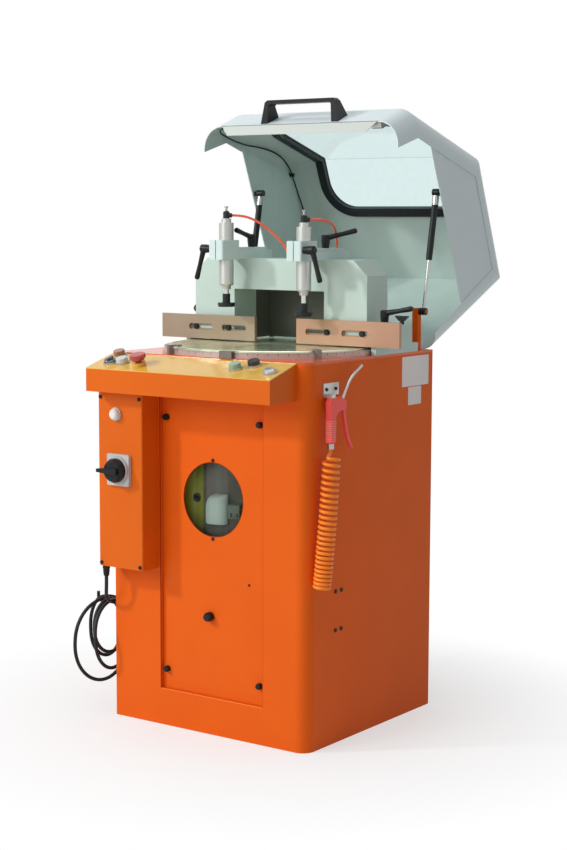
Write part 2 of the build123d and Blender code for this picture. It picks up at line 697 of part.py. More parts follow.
def switch_knob():
    """Round rotary handle with its grip pointing to the left."""
    face = BOX_FACE - SWITCH_PLATE_THICKNESS - SWITCH_COLLAR_HEIGHT
    rim = SWITCH_KNOB_HEIGHT * 0.5
    body = turned([(0, 0), (SWITCH_KNOB_RADIUS, 0), (SWITCH_KNOB_RADIUS, rim),
                   (SWITCH_KNOB_RADIUS - 5, SWITCH_KNOB_HEIGHT), (0, SWITCH_KNOB_HEIGHT)],
                  (BOX_MIDDLE, face, SWITCH_HEIGHT), (0, -1, 0))
    grip_start = BOX_MIDDLE + SWITCH_KNOB_RADIUS - 8
    grip_end = BOX_MIDDLE - SWITCH_GRIP_REACH
    grip_outline = [(grip_start, SWITCH_HEIGHT - 8), (grip_start, SWITCH_HEIGHT + 8),
                    (grip_end, SWITCH_HEIGHT + 4), (grip_end, SWITCH_HEIGHT - 4)]
    grip = across_y(grip_outline, face - SWITCH_KNOB_HEIGHT - 9, face - rim)
    return body + grip


def push_button(place):
    """Flush cap on a stem that goes through the plate."""
    low = BUTTON_TRAVEL + BUTTON_PLAY
    cap = turned([(0, -STEM_DEPTH), (BUTTON_STEM_RADIUS, -STEM_DEPTH), (BUTTON_STEM_RADIUS, low),
                  (BUTTON_RADIUS, low), (BUTTON_RADIUS, low + BUTTON_CAP - 1),
                  (BUTTON_RADIUS - 1, low + BUTTON_CAP), (0, low + BUTTON_CAP)], (0, 0, 0))
    return on_console(place) * cap


def emergency_stop():
    """Flat mushroom head on a stem."""
    low = MUSHROOM_COLLAR + BUTTON_TRAVEL + BUTTON_PLAY
    top = low + MUSHROOM_HEIGHT
    head = turned([(0, -STEM_DEPTH), (BUTTON_STEM_RADIUS, -STEM_DEPTH), (BUTTON_STEM_RADIUS, low),
                   (MUSHROOM_RADIUS - 6, low), (MUSHROOM_RADIUS - 1, low + 5), (MUSHROOM_RADIUS, top - 4),
                   (MUSHROOM_RADIUS - 1, top - 1), (MUSHROOM_RADIUS - 4, top), (0, top)], (0, 0, 0))
    return on_console(EMERGENCY_STOP) * head


def selector():
    """Turning selector with a low grip bar."""
    low = BEZEL_HEIGHT + BUTTON_PLAY
    body = turned([(0, -STEM_DEPTH), (BUTTON_STEM_RADIUS, -STEM_DEPTH), (BUTTON_STEM_RADIUS, low),
                   (BUTTON_RADIUS, low), (BUTTON_RADIUS, low + 3), (BUTTON_RADIUS - 1, low + 4), (0, low + 4)],
                  (0, 0, 0))
    grip = slab((-4, 4), (1 - BUTTON_RADIUS, BUTTON_RADIUS - 1), (low + 2, low + SELECTOR_HEIGHT))
    grip = fillet(grip.edges().filter_by(Axis.Z), 3)
    return on_console(SELECTOR) * (body + grip)


def key_switch():
    """Lock barrel with its keyway."""
    low = BEZEL_HEIGHT + BUTTON_PLAY
    top = low + 6
    barrel = turned([(0, -STEM_DEPTH), (BUTTON_STEM_RADIUS, -STEM_DEPTH), (BUTTON_STEM_RADIUS, low),
                     (BUTTON_RADIUS - 1, low), (BUTTON_RADIUS - 2, top), (0, top)], (0, 0, 0))
    return on_console(KEY_SWITCH) * (barrel - slab((-5, 5), (-1, 1), (top - KEYWAY_DEPTH, top)))


# Table

def scale_ring():
    """Fixed ring with a floor that carries the table and a rim that bears the scale."""
    rim_inner = TABLE_RADIUS + TABLE_PLAY
    outline = [(RING_INNER_RADIUS, 0), (RING_RADIUS, 0), (RING_RADIUS, RING_FLOOR + RING_RIM),
               (rim_inner, RING_FLOOR + RING_RIM), (rim_inner, RING_FLOOR), (RING_INNER_RADIUS, RING_FLOOR)]
    return turned(outline, (0, 0, CABINET_HEIGHT))


def table_clip(angle):
    """Foot beside the ring with a finger that holds the table down."""
    low = RING_RADIUS + TABLE_PLAY
    finger = TABLE_TOP - CABINET_HEIGHT + TABLE_PLAY
    top = finger + CLIP_HEIGHT_OVER_TABLE
    outline = [(low, 0), (low + CLIP_WIDTH, 0), (low + CLIP_WIDTH, top), (TABLE_RADIUS - 8, top),
               (TABLE_RADIUS - 8, finger), (low, finger)]
    plane = Plane(origin=(0, 0, CABINET_HEIGHT), x_dir=(1, 0, 0), z_dir=(0, -1, 0))
    clip = extrude(plane * make_face(Polyline(*outline, close=True)), CLIP_WIDTH / 2, both=True)
    return Rot(0, 0, angle) * clip


def latch_plate():
    """Angle latch on the front of the ring, over the rim."""
    front = -math.sqrt(RING_RADIUS ** 2 - (LATCH_X - LATCH_WIDTH / 2) ** 2) - TABLE_PLAY
    top = RING_TOP + RING_RIM
    outline = [(front, CABINET_HEIGHT), (front, top + 0.3), (front + 9, top + 0.3),
               (front + 9, top + 4), (front - 5, top + 4), (front - 5, CABINET_HEIGHT)]
    return across_x(outline, LATCH_X - LATCH_WIDTH / 2, LATCH_X + LATCH_WIDTH / 2)


LIFT_TOP_AXIS = BLADE_AXIS + LIFT_STROKE
SLOT_HALF = math.sqrt(BLADE_RADIUS ** 2 - (RING_TOP - LIFT_TOP_AXIS) ** 2) + 7


def turntable():
    """Two half plates beside the blade slot, the strips that close its ends, and the spigot below."""
    outline = [(0, 0), (TABLE_RADIUS, 0), (TABLE_RADIUS, TABLE_THICKNESS - 1), (TABLE_RADIUS - 1, TABLE_THICKNESS),
               (0, TABLE_THICKNESS)]
    disc = turned(outline, (0, 0, RING_TOP))
    thick = (RING_TOP, TABLE_TOP)
    reach = (-TABLE_RADIUS, TABLE_RADIUS)
    half_slot = SLOT_WIDTH / 2
    left = disc & slab((-TABLE_RADIUS, -half_slot), reach, thick)
    right = disc & slab((half_slot, TABLE_RADIUS), reach, thick)
    ends = disc & slab((-half_slot, half_slot), reach, thick)
    ends -= slab((-half_slot, half_slot), (-SLOT_HALF, SLOT_HALF), thick)
    spigot_radius = TOP_HOLE_RADIUS - TABLE_PLAY
    spigot_height = RING_FLOOR + TOP_THICKNESS
    spigot = drum((0, 0, RING_TOP - spigot_height), (0, 0, 1), spigot_radius, spigot_height,
                  spigot_radius - SPIGOT_WIDTH)
    return [left, right, ends, spigot]


# Saw unit

MOTOR_RIGHT = -MOTOR_GAP_TO_BLADE
CARRIAGE_X = MOTOR_RIGHT - MOTOR_LENGTH / 2
COLUMN_YS = (-COLUMN_SPACING / 2, COLUMN_SPACING / 2)
BARREL_TOP = BLADE_AXIS - CARRIAGE_BELOW_AXIS
BARREL_LOW = BARREL_TOP - LIFT_BARREL_LENGTH
FOOT_TOP = BARREL_LOW - FRAME_FOOT_GAP
COLUMN_PAD = 1.7 * COLUMN_RADIUS


def saw_frame():
    """Two guide columns hung under the table, with a cross plate at their feet."""
    frame = slab((CARRIAGE_X - COLUMN_PAD, CARRIAGE_X + COLUMN_PAD),
                 (COLUMN_YS[0] - COLUMN_PAD, COLUMN_YS[1] + COLUMN_PAD), (FOOT_TOP - FRAME_PLATE, FOOT_TOP))
    frame = fillet(frame.edges().filter_by(Axis.Z), COLUMN_RADIUS)
    for y in COLUMN_YS:
        frame += drum((CARRIAGE_X, y, FOOT_TOP), (0, 0, 1), COLUMN_RADIUS, RING_TOP - FOOT_TOP)
        frame += drum((CARRIAGE_X, y, RING_TOP - FRAME_PLATE), (0, 0, 1), COLUMN_PAD, FRAME_PLATE)
    return frame


def saw_carriage():
    """Saddle that holds the motor and slides on the two columns."""
    half = COLUMN_SPACING / 2 + COLUMN_PAD
    outline = [(-half, BLADE_AXIS - CARRIAGE_ABOVE_AXIS), (-MOTOR_RADIUS, BLADE_AXIS - CARRIAGE_BELOW_AXIS),
               (MOTOR_RADIUS, BLADE_AXIS - CARRIAGE_BELOW_AXIS), (half, BLADE_AXIS - CARRIAGE_ABOVE_AXIS),
               (half, BLADE_AXIS + CARRIAGE_ABOVE_AXIS), (-half, BLADE_AXIS + CARRIAGE_ABOVE_AXIS)]
    saddle = across_x(outline, CARRIAGE_X - CARRIAGE_THICKNESS / 2, CARRIAGE_X + CARRIAGE_THICKNESS / 2)
    saddle -= drum((MOTOR_RIGHT - MOTOR_LENGTH, 0, BLADE_AXIS), (1, 0, 0), MOTOR_RADIUS + TABLE_PLAY / 3, MOTOR_LENGTH)
    for y in COLUMN_YS:
        base = (CARRIAGE_X, y, BLADE_AXIS - CARRIAGE_BELOW_AXIS)
        saddle -= drum(base, (0, 0, 1), COLUMN_RADIUS + SLIDE_PLAY, 2 * CARRIAGE_BELOW_AXIS)
    return saddle


def drive_motor():
    """Finned motor with a nose towards the blade."""
    fin = 3.0
    core = MOTOR_RADIUS - 5
    outline = [(0, 0), (MOTOR_RADIUS - 8, 0), (MOTOR_RADIUS, 8)]
    waist = (MOTOR_LENGTH - CARRIAGE_THICKNESS) / 2 - 4
    position = 14.0
    while position + 2 * fin < waist:
        outline += [(MOTOR_RADIUS, position), (core, position), (core, position + fin), (MOTOR_RADIUS, position + fin)]
        position += 2 * fin
    position = MOTOR_LENGTH - waist
    while position + 2 * fin < MOTOR_LENGTH - 10:
        outline += [(MOTOR_RADIUS, position), (core, position), (core, position + fin), (MOTOR_RADIUS, position + fin)]
        position += 2 * fin
    outline += [(MOTOR_RADIUS, MOTOR_LENGTH - 6), (MOTOR_RADIUS - 6, MOTOR_LENGTH), (0, MOTOR_LENGTH)]
    motor = turned(outline, (MOTOR_RIGHT - MOTOR_LENGTH, 0, BLADE_AXIS), (1, 0, 0))
    return motor - drum((MOTOR_RIGHT - 20, 0, BLADE_AXIS), (1, 0, 0), LIFT_ROD_RADIUS + SLIDE_PLAY, 20)


def lift_cylinder():
    """Barrel under the saddle, open below for its rod."""
    cap = 12.0
    outline = [(LIFT_ROD_RADIUS + SLIDE_PLAY, 0), (LIFT_BARREL_RADIUS + 2, 0), (LIFT_BARREL_RADIUS + 2, cap),
               (LIFT_BARREL_RADIUS, cap), (LIFT_BARREL_RADIUS, LIFT_BARREL_LENGTH - cap),
               (LIFT_BARREL_RADIUS + 2, LIFT_BARREL_LENGTH - cap), (LIFT_BARREL_RADIUS + 2, LIFT_BARREL_LENGTH),
               (0, LIFT_BARREL_LENGTH), (0, LIFT_BARREL_LENGTH - cap),
               (LIFT_ROD_RADIUS + SLIDE_PLAY, LIFT_BARREL_LENGTH - cap)]
    return turned(outline, (CARRIAGE_X, 0, BARREL_LOW))


def lift_rod():
    """Rod that stands on the cross plate and reaches into the barrel."""
    reach = FRAME_FOOT_GAP + LIFT_STROKE + 35
    return drum((CARRIAGE_X, 0, FOOT_TOP), (0, 0, 1), LIFT_ROD_RADIUS, reach)


def saw_blade():
    """Toothed disc with a round arbor hole."""
    outline = []
    for tooth in range(BLADE_TEETH):
        turn = 2 * math.pi / BLADE_TEETH
        for share, radius in ((0.0, BLADE_RADIUS), (0.45, BLADE_RADIUS - 1), (0.55, BLADE_RADIUS - TOOTH_DEPTH)):
            angle = (tooth + share) * turn
            outline.append((radius * math.cos(angle), BLADE_AXIS + radius * math.sin(angle)))
    half = BLADE_THICKNESS / 2
    blade = across_x(outline, -half, half)
    return blade - drum((-half, 0, BLADE_AXIS), (1, 0, 0), LIFT_ROD_RADIUS, BLADE_THICKNESS)


def arbor():
    """Shaft from the motor with the flange, washer and nut that hold the blade."""
    half = BLADE_THICKNESS / 2
    left = -half - FLANGE_THICKNESS
    shaft_start = MOTOR_RIGHT - 18
    outline = [(0, shaft_start), (LIFT_ROD_RADIUS, shaft_start), (LIFT_ROD_RADIUS, left), (FLANGE_RADIUS, left),
               (FLANGE_RADIUS, -half), (LIFT_ROD_RADIUS, -half), (LIFT_ROD_RADIUS, half), (FLANGE_RADIUS, half),
               (FLANGE_RADIUS, half + FLANGE_THICKNESS), (1.7 * LIFT_ROD_RADIUS, half + FLANGE_THICKNESS),
               (1.7 * LIFT_ROD_RADIUS, half + FLANGE_THICKNESS + 9), (0, half + FLANGE_THICKNESS + 9)]
    return turned(outline, (0, 0, BLADE_AXIS), (1, 0, 0))


# Fences and gantry

def fence_base():
    """Right-hand beam over the table with a foot on the cabinet's corner."""
    outline = [(GANTRY_OPENING_HALF, BASE_FRONT), (FENCE_OUTER, BASE_FRONT),
               (FENCE_OUTER, BASE_FRONT + BASE_END_DEPTH), (GANTRY_HALF_WIDTH, BASE_FRONT + BASE_END_DEPTH),
               (GANTRY_HALF_WIDTH, GANTRY_BACK), (GANTRY_OPENING_HALF, GANTRY_BACK)]
    beam = across_z(outline, BASE_LOW, BASE_TOP)
    foot = slab((GANTRY_OPENING_HALF, HALF_WIDTH), (BASE_FRONT, FOOT_BACK), (CABINET_HEIGHT, BASE_LOW))
    foot -= drum((0, 0, CABINET_HEIGHT), (0, 0, 1), RING_RADIUS + 2, BASE_LOW - CABINET_HEIGHT)
    return beam + foot


def fence_bolt_places():
    """Bolt places along the right-hand fence."""
    return [FENCE_GAP_HALF + centre + offset for centre, offset in zip(FENCE_SLOT_CENTRES, FENCE_BOLT_OFFSETS)]


def bolt_hole(x):
    """Hole in the beam for a fence bolt."""
    middle = (x, BASE_FRONT, FENCE_LOW + FENCE_HEIGHT / 2)
    return drum(middle, (0, 1, 0), FENCE_BOLT_RADIUS + FENCE_BOLT_PLAY, FENCE_BOLT_DEPTH + 1)


def fence_bolt(x):
    """Bolt whose head lies inside the stepped slot."""
    head_start = BASE_FRONT - FENCE_BACK_GAP - FENCE_THICKNESS + FENCE_SLOT_STEP - 0.1
    outline = [(0, -FENCE_BOLT_DEPTH), (FENCE_BOLT_RADIUS, -FENCE_BOLT_DEPTH),
               (FENCE_BOLT_RADIUS, BASE_FRONT - head_start),
               (FENCE_BOLT_HEAD_RADIUS, BASE_FRONT - head_start),
               (FENCE_BOLT_HEAD_RADIUS, BASE_FRONT - head_start + 5), (0, BASE_FRONT - head_start + 5)]
    return turned(outline, (x, BASE_FRONT, FENCE_LOW + FENCE_HEIGHT / 2), (0, -1, 0))


def fence_plate():
    """Right-hand fence with two stepped slots."""
    front = BASE_FRONT - FENCE_BACK_GAP - FENCE_THICKNESS
    plate = slab((FENCE_GAP_HALF, FENCE_OUTER), (front, front + FENCE_THICKNESS), (FENCE_LOW, FENCE_LOW + FENCE_HEIGHT))
    narrow = 2 * (FENCE_BOLT_RADIUS + FENCE_BOLT_PLAY)
    for centre in FENCE_SLOT_CENTRES:
        spot = Plane(origin=(FENCE_GAP_HALF + centre, front, FENCE_LOW + FENCE_HEIGHT / 2),
                     x_dir=(1, 0, 0), z_dir=(0, -1, 0))
        wide_slot = spot * SlotOverall(FENCE_SLOT_LENGTH, FENCE_SLOT_WIDTH)
        narrow_slot = spot * SlotOverall(FENCE_SLOT_LENGTH - FENCE_SLOT_WIDTH + narrow, narrow)
        plate -= extrude(wide_slot, FENCE_SLOT_STEP, dir=(0, 1, 0))
        plate -= extrude(narrow_slot, FENCE_THICKNESS, dir=(0, 1, 0))
    return plate


def gantry_outline(inset):
    """Arch outline, drawn in by a wall."""
    half = GANTRY_HALF_WIDTH - inset
    top_half = GANTRY_TOP_HALF_WIDTH - 0.4 * inset
    opening = GANTRY_OPENING_HALF + inset
    low = BASE_TOP + inset
    points = [(half, low), (half, GANTRY_SHOULDER - 0.4 * inset), (top_half, GANTRY_TOP - inset)]
    legs = [(opening, GANTRY_OPENING_TOP + inset), (opening, low)]
    left = [(-x, z) for x, z in reversed(points)]
    left_leg = [(-x, z) for x, z in reversed(legs)]
    return points + left + left_leg + legs


def gantry():
    """Arch casting, open at the back, with ribs and the lever holes of the clamp arms."""
    arch = across_y(gantry_outline(0), GANTRY_FRONT, GANTRY_BACK)
    arch -= across_y(gantry_outline(GANTRY_WALL), GANTRY_FRONT + GANTRY_WALL, GANTRY_BACK)
    for x in (-CLAMP_X, CLAMP_X):
        rib = slab((x - GANTRY_WALL / 2, x + GANTRY_WALL / 2), (GANTRY_FRONT, GANTRY_BACK - GANTRY_WALL),
                   (GANTRY_OPENING_TOP, GANTRY_TOP))
        arch += rib
    return arch


def chip_deflector():
    """Dark channel behind the gantry's opening."""
    outer = GANTRY_OPENING_HALF + 5
    channel = slab((-outer, outer), (GANTRY_BACK, DEFLECTOR_BACK), (BASE_LOW, DEFLECTOR_TOP))
    return channel - slab((-outer + SHEET, outer - SHEET), (GANTRY_BACK, DEFLECTOR_BACK - SHEET),
                          (BASE_LOW, DEFLECTOR_TOP))


# Clamps

ARM_TOP = GANTRY_TOP + CLAMP_ARM_HEIGHT
BLOCK_LOW = GANTRY_TOP - CLAMP_BLOCK_LOW
BLOCK_TOP = BLOCK_LOW + CLAMP_BLOCK_HEIGHT
SCREW_Y = CLAMP_Y - CYLINDER_RADIUS - (CLAMP_BLOCK_FRONT - CYLINDER_RADIUS) / 2
SCREW_HEIGHT = BLOCK_LOW + 0.55 * CLAMP_BLOCK_HEIGHT


def clamp_bracket(lever_y):
    """Right-hand arm on the gantry with a split block for the cylinder."""
    block = slab((CLAMP_X - CLAMP_BLOCK_HALF, CLAMP_X + CLAMP_BLOCK_HALF),
                 (CLAMP_Y - CLAMP_BLOCK_FRONT, CLAMP_Y + CLAMP_BLOCK_BACK), (BLOCK_LOW, BLOCK_TOP))
    block = fillet(block.edges().filter_by(Axis.Z), 5)
    half = CLAMP_ARM_WIDTH / 2
    arm = slab((CLAMP_X - half, CLAMP_X + half), (CLAMP_Y, CLAMP_ARM_BACK), (GANTRY_TOP, ARM_TOP - 7))
    pad = slab((CLAMP_X - half + 6, CLAMP_X + half - 6), (CLAMP_Y, CLAMP_ARM_BACK - 14), (ARM_TOP - 7, ARM_TOP))
    bracket = block + arm + pad
    bracket -= drum((CLAMP_X, CLAMP_Y, BLOCK_LOW), (0, 0, 1), CYLINDER_RADIUS + SLIDE_PLAY, CLAMP_BLOCK_HEIGHT)
    bracket -= slab((CLAMP_X - CLAMP_SLIT / 2, CLAMP_X + CLAMP_SLIT / 2),
                    (CLAMP_Y - CLAMP_BLOCK_FRONT, CLAMP_Y), (BLOCK_LOW, BLOCK_TOP))
    stud = LEVER_STUD_RADIUS + STUD_PLAY
    depth = LEVER_STUD_LENGTH + 1
    bracket -= drum((CLAMP_X + CLAMP_BLOCK_HALF - depth, SCREW_Y, SCREW_HEIGHT), (1, 0, 0), stud, depth)
    return bracket - drum((CLAMP_X, lever_y, ARM_TOP - depth), (0, 0, 1), stud, depth)


def clamp_cylinder(x, drop):
    """Air cylinder with its neck, cap and elbow."""
    low = CYLINDER_TOP - CYLINDER_LENGTH
    bore = CLAMP_ROD_RADIUS + SLIDE_PLAY
    neck = CYLINDER_NECK
    outline = [(bore, -CYLINDER_NECK_HEIGHT), (neck - 2, -CYLINDER_NECK_HEIGHT), (neck, 0),
               (CYLINDER_RADIUS - 2, 0), (CYLINDER_RADIUS, 3), (CYLINDER_RADIUS, CYLINDER_LENGTH),
               (neck, CYLINDER_LENGTH), (neck, CYLINDER_LENGTH + CYLINDER_NECK_HEIGHT),
               (0, CYLINDER_LENGTH + CYLINDER_NECK_HEIGHT), (0, CYLINDER_LENGTH - 20), (bore, CYLINDER_LENGTH - 20)]
    return turned(outline, (x, CLAMP_Y, low - drop))


def elbow_place(x, drop):
    """Foot of the elbow on top of a cylinder."""
    return (x, CLAMP_Y, CYLINDER_TOP + CYLINDER_NECK_HEIGHT - drop)


def clamp_elbow(x, drop):
    """Push-in elbow with a flow screw."""
    foot = elbow_place(x, drop)
    body = turned([(0, 0), (ELBOW_RADIUS, 0), (ELBOW_RADIUS, ELBOW_HEIGHT), (3, ELBOW_HEIGHT + 4),
                   (3, ELBOW_HEIGHT + 10), (5, ELBOW_HEIGHT + 11), (5, ELBOW_HEIGHT + 14), (0, ELBOW_HEIGHT + 14)],
                  foot)
    middle = (foot[0], foot[1], foot[2] + ELBOW_HEIGHT / 2)
    return body + drum(middle, ELBOW_WAY, 0.7 * ELBOW_RADIUS, ELBOW_PORT)


def clamp_rod(x, drop):
    """Piston rod with its stem and pad."""
    neck_low = CYLINDER_TOP - CYLINDER_LENGTH - CYLINDER_NECK_HEIGHT
    stem_top = neck_low - PAD_GAP + CYLINDER_NECK_HEIGHT - drop
    pad_top = stem_top - PAD_STEM_HEIGHT
    pad_low = pad_top - PAD_THICKNESS
    rod_top = CYLINDER_TOP - 30 - drop
    outline = [(0, pad_low), (PAD_RADIUS - 2, pad_low), (PAD_RADIUS, pad_low + 2), (PAD_RADIUS, pad_top),
               (PAD_STEM_RADIUS, pad_top), (PAD_STEM_RADIUS, stem_top), (CLAMP_ROD_RADIUS, stem_top),
               (CLAMP_ROD_RADIUS, rod_top), (0, rod_top)]
    return turned(outline, (x, CLAMP_Y, 0))


def lever(base, axis, way, rise):
    """Clamp lever: a hub on its stud and a tapered arm."""
    up = Vector(*axis).normalized()
    hub = turned([(0, -LEVER_STUD_LENGTH), (LEVER_STUD_RADIUS, -LEVER_STUD_LENGTH), (LEVER_STUD_RADIUS, 0),
                  (LEVER_HUB_RADIUS - 2, 0), (LEVER_HUB_RADIUS, LEVER_HUB_HEIGHT * 0.5),
                  (LEVER_HUB_RADIUS, LEVER_HUB_HEIGHT - 3), (LEVER_HUB_RADIUS - 3, LEVER_HUB_HEIGHT),
                  (0, LEVER_HUB_HEIGHT)], base, axis)
    root = Vector(*base) + up * (LEVER_HUB_HEIGHT - LEVER_ROOT_RADIUS - 1)
    along = (Vector(*way).normalized() + up * rise).normalized()
    arm = turned([(0, 0), (LEVER_ROOT_RADIUS, 0), (LEVER_TIP_RADIUS, LEVER_ARM * 0.55),
                  (LEVER_TIP_RADIUS + 1, LEVER_ARM), (LEVER_TIP_RADIUS - 1, LEVER_ARM + 4), (0, LEVER_ARM + 5)],
                 root, along)
    return hub + arm


# Hood

def from_hinge(step):
    """Point at a (y, z) step from the hood's hinge."""
    return (HOOD_HINGE[0] + step[0], HOOD_HINGE[1] + step[1])


HOOD_FRONT = from_hinge(FRONT_FROM_HINGE)
HOOD_BEND_FRONT = from_hinge(BEND_FRONT_FROM_HINGE)
HOOD_BEND_TOP = from_hinge(BEND_TOP_FROM_HINGE)
HOOD_BEND_BACK = from_hinge(BEND_BACK_FROM_HINGE)


def wrap_points():
    """Outer corners of the hood's wrap, from its front edge to the hinge."""
    hinge = Vector(*HOOD_HINGE)
    back = Vector(*HOOD_BEND_BACK)
    end = hinge + (back - hinge).normalized() * HOOD_END_GAP
    return [Vector(*HOOD_FRONT), Vector(*HOOD_BEND_FRONT), Vector(*HOOD_BEND_TOP), back, end]


def inward(start, end):
    """Unit normal towards the inside of the hood."""
    way = (end - start).normalized()
    return Vector(way.Y, -way.X)


def wrap_inside(points, inset):
    """Wrap corners moved inwards by a distance, mitred at the bends."""
    normals = [inward(start, end) for start, end in zip(points, points[1:])]
    moved = [points[0] + normals[0] * inset]
    for corner, before, after in zip(points[1:], normals, normals[1:]):
        sum_way = (before + after).normalized()
        moved.append(corner + sum_way * (inset / sum_way.dot(before)))
    moved.append(points[-1] + normals[-1] * inset)
    return moved


def flat(points):
    return [(point.X, point.Y) for point in points]


def flange_outline():
    """Side view of the wrap and the edge of its flanges."""
    drawn_in = wrap_inside(wrap_points(), HOOD_FLANGE)
    lip = (HOOD_FRONT[0], HOOD_FRONT[1] - HOOD_LIP_DROP)
    return flat(wrap_points()) + [from_hinge(TIP_FROM_HINGE)] + flat(drawn_in[3:0:-1]) + [lip]


def side_panel():
    """Flat panel of the right-hand side, lapped behind the flange."""
    edge = wrap_inside(wrap_points(), HOOD_FLANGE - HOOD_PANEL_LAP)
    slope_start, slope_end = edge[1], edge[2]
    share = (HOOD_HINGE[0] + SIDE_TOP_FROM_HINGE - slope_start.X) / (slope_end.X - slope_start.X)
    top = slope_start + (slope_end - slope_start) * share
    low = edge[4] + (edge[3] - edge[4]).normalized() * (SIDE_LOW_ALONG - HOOD_END_GAP)
    outer = HOOD_HALF_WIDTH - HOOD_WALL
    return across_x(flat([top, edge[2], edge[3], low]), outer - HOOD_WALL, outer)


def rounded_sides(solid, corners, half, radius):
    """Rounds the long edges between the wrap and the sides."""
    places = [(round(y, 3), round(z, 3)) for y, z in corners]
    chosen = []
    for edge in solid.edges():
        ends = [(edge @ 0), (edge @ 1)]
        on_side = all(abs(abs(end.X) - half) < 0.01 for end in ends)
        on_wrap = all((round(end.Y, 3), round(end.Z, 3)) in places for end in ends)
        if on_side and on_wrap and ends[0].X * ends[1].X > 0:
            chosen.append(edge)
    return fillet(chosen, radius)


def hood_skin():
    """Bent sheet with rounded edges and side flanges."""
    wrap = wrap_points()
    outside = across_x(flange_outline(), -HOOD_HALF_WIDTH, HOOD_HALF_WIDTH)
    outside = rounded_sides(outside, flat(wrap), HOOD_HALF_WIDTH, HOOD_EDGE_RADIUS)
    drawn_in = wrap_inside(wrap, HOOD_WALL)
    overrun = 2 * HOOD_FLANGE
    drawn_in[0] = drawn_in[0] + (drawn_in[0] - drawn_in[1]).normalized() * overrun
    drawn_in[-1] = drawn_in[-1] + (drawn_in[-1] - drawn_in[-2]).normalized() * overrun
    half = HOOD_HALF_WIDTH - HOOD_WALL
    inside = across_x(flat(drawn_in), -half, half)
    inside = rounded_sides(inside, flat(drawn_in), half, HOOD_EDGE_RADIUS - HOOD_WALL)
    return outside - inside


def front_strip():
    """Turned-down strip along the hood's front edge."""
    down = Vector(0, -HOOD_STRIP_DROP[0], -HOOD_STRIP_DROP[1])
    length = down.length
    plane = Plane(origin=(0, *HOOD_FRONT), x_dir=(1, 0, 0), z_dir=Vector(1, 0, 0).cross(down))
    outline = [(-HOOD_STRIP_HALF_TOP, 0), (HOOD_STRIP_HALF_TOP, 0), (HOOD_STRIP_HALF_LOW, length),
               (-HOOD_STRIP_HALF_LOW, length)]
    face = plane * make_face(Polyline(*outline, close=True))
    return extrude(face, amount=HOOD_WALL, dir=(0, 1, 0))


def slope_plane(towards):
    """Plane on the wrap's outside at its top bend, its y axis down one slope."""
    top = Vector(0, *HOOD_BEND_TOP)
    way = (Vector(0, *towards) - top).normalized()
    return Plane(origin=top, x_dir=(1, 0, 0), z_dir=Vector(1, 0, 0).cross(way))


def window_half(towards, length, margin, low, high):
    """One slope of the window: a slab with two rounded corners, cut off at the bend."""
    lap = HOOD_FLANGE
    half = GLASS_HALF_WIDTH + margin
    face = make_face(Polyline((-half, -lap), (half, -lap), (half, length + margin), (-half, length + margin),
                              close=True))
    far_corners = face.vertices().group_by(Axis.Y)[-1]
    face = fillet(far_corners, GLASS_CORNER_RADIUS + margin)
    plane = slope_plane(towards)
    outward = 1 if plane.z_dir.Z > 0 else -1
    base = plane.offset(outward * low)
    body = extrude(base * face, amount=high - low, dir=plane.z_dir * outward)
    up_way = (Vector(0, *HOOD_BEND_TOP) - Vector(0, *HOOD_BEND_FRONT)).normalized()
    down_way = (Vector(0, *HOOD_BEND_BACK) - Vector(0, *HOOD_BEND_TOP)).normalized()
    mitre = Plane(origin=(0, *HOOD_BEND_TOP), z_dir=up_way + down_way)
    keep = Keep.BOTTOM if towards == HOOD_BEND_FRONT else Keep.TOP
    return split(body, bisect_by=mitre, keep=keep)


def window_halves(margin, low, high):
    """Window shape on each slope, between two distances from the outside."""
    return [window_half(HOOD_BEND_FRONT, GLASS_UP_SLOPE, margin, low, high),
            window_half(HOOD_BEND_BACK, GLASS_DOWN_SLOPE, margin, low, high)]


def window_slab(margin, low, high):
    """Window shape over both slopes in one."""
    upper, lower = window_halves(margin, low, high)
    return upper + lower


def bend_planes():
    """Mitre plane at each bend of the wrap."""
    points = wrap_points()
    planes = []
    for before, corner, after in zip(points, points[1:], points[2:]):
        way = (corner - before).normalized() + (after - corner).normalized()
        planes.append(Plane(origin=(0, corner.X, corner.Y), z_dir=(0, way.X, way.Y)))
    return planes


def hood_shell():
    """Bent sheet in simple pieces: cut at its bends and beside its rounded edges."""
    shell = hood_skin() + front_strip() - window_slab(0, -4 * HOOD_WALL, 2 * HOOD_WALL)
    edge = HOOD_HALF_WIDTH - HOOD_EDGE_RADIUS
    pieces = [shell]
    for plane in bend_planes() + [Plane(origin=(x, 0, 0), z_dir=(1, 0, 0)) for x in (-edge, edge)]:
        halves = [split(piece, bisect_by=plane, keep=Keep.BOTH) for piece in pieces]
        pieces = [solid for half in halves for solid in half.solids()]
    return pieces


def hood_glazing():
    """Clear sheet, one flat piece on each slope."""
    middle = -HOOD_WALL / 2
    return window_halves(-GLASS_INSET, middle - GLASS_THICKNESS / 2, middle + GLASS_THICKNESS / 2)


def window_trim(shell, glazing):
    """Rubber profile that grips the sheet and the glazing."""
    ring = window_slab(TRIM_HALF_WIDTH, -TRIM_INSIDE, TRIM_OUTSIDE)
    ring -= window_slab(-TRIM_HALF_WIDTH, -2 * TRIM_INSIDE, 3 * TRIM_OUTSIDE)
    for piece in shell + glazing:
        ring -= piece
    return ring


def on_front_slope(y):
    """Point on the outside of the hood's first slope."""
    start, end = Vector(*HOOD_FRONT), Vector(*HOOD_BEND_FRONT)
    share = (y - start.X) / (end.X - start.X)
    return (y, start.Y + (end.Y - start.Y) * share)


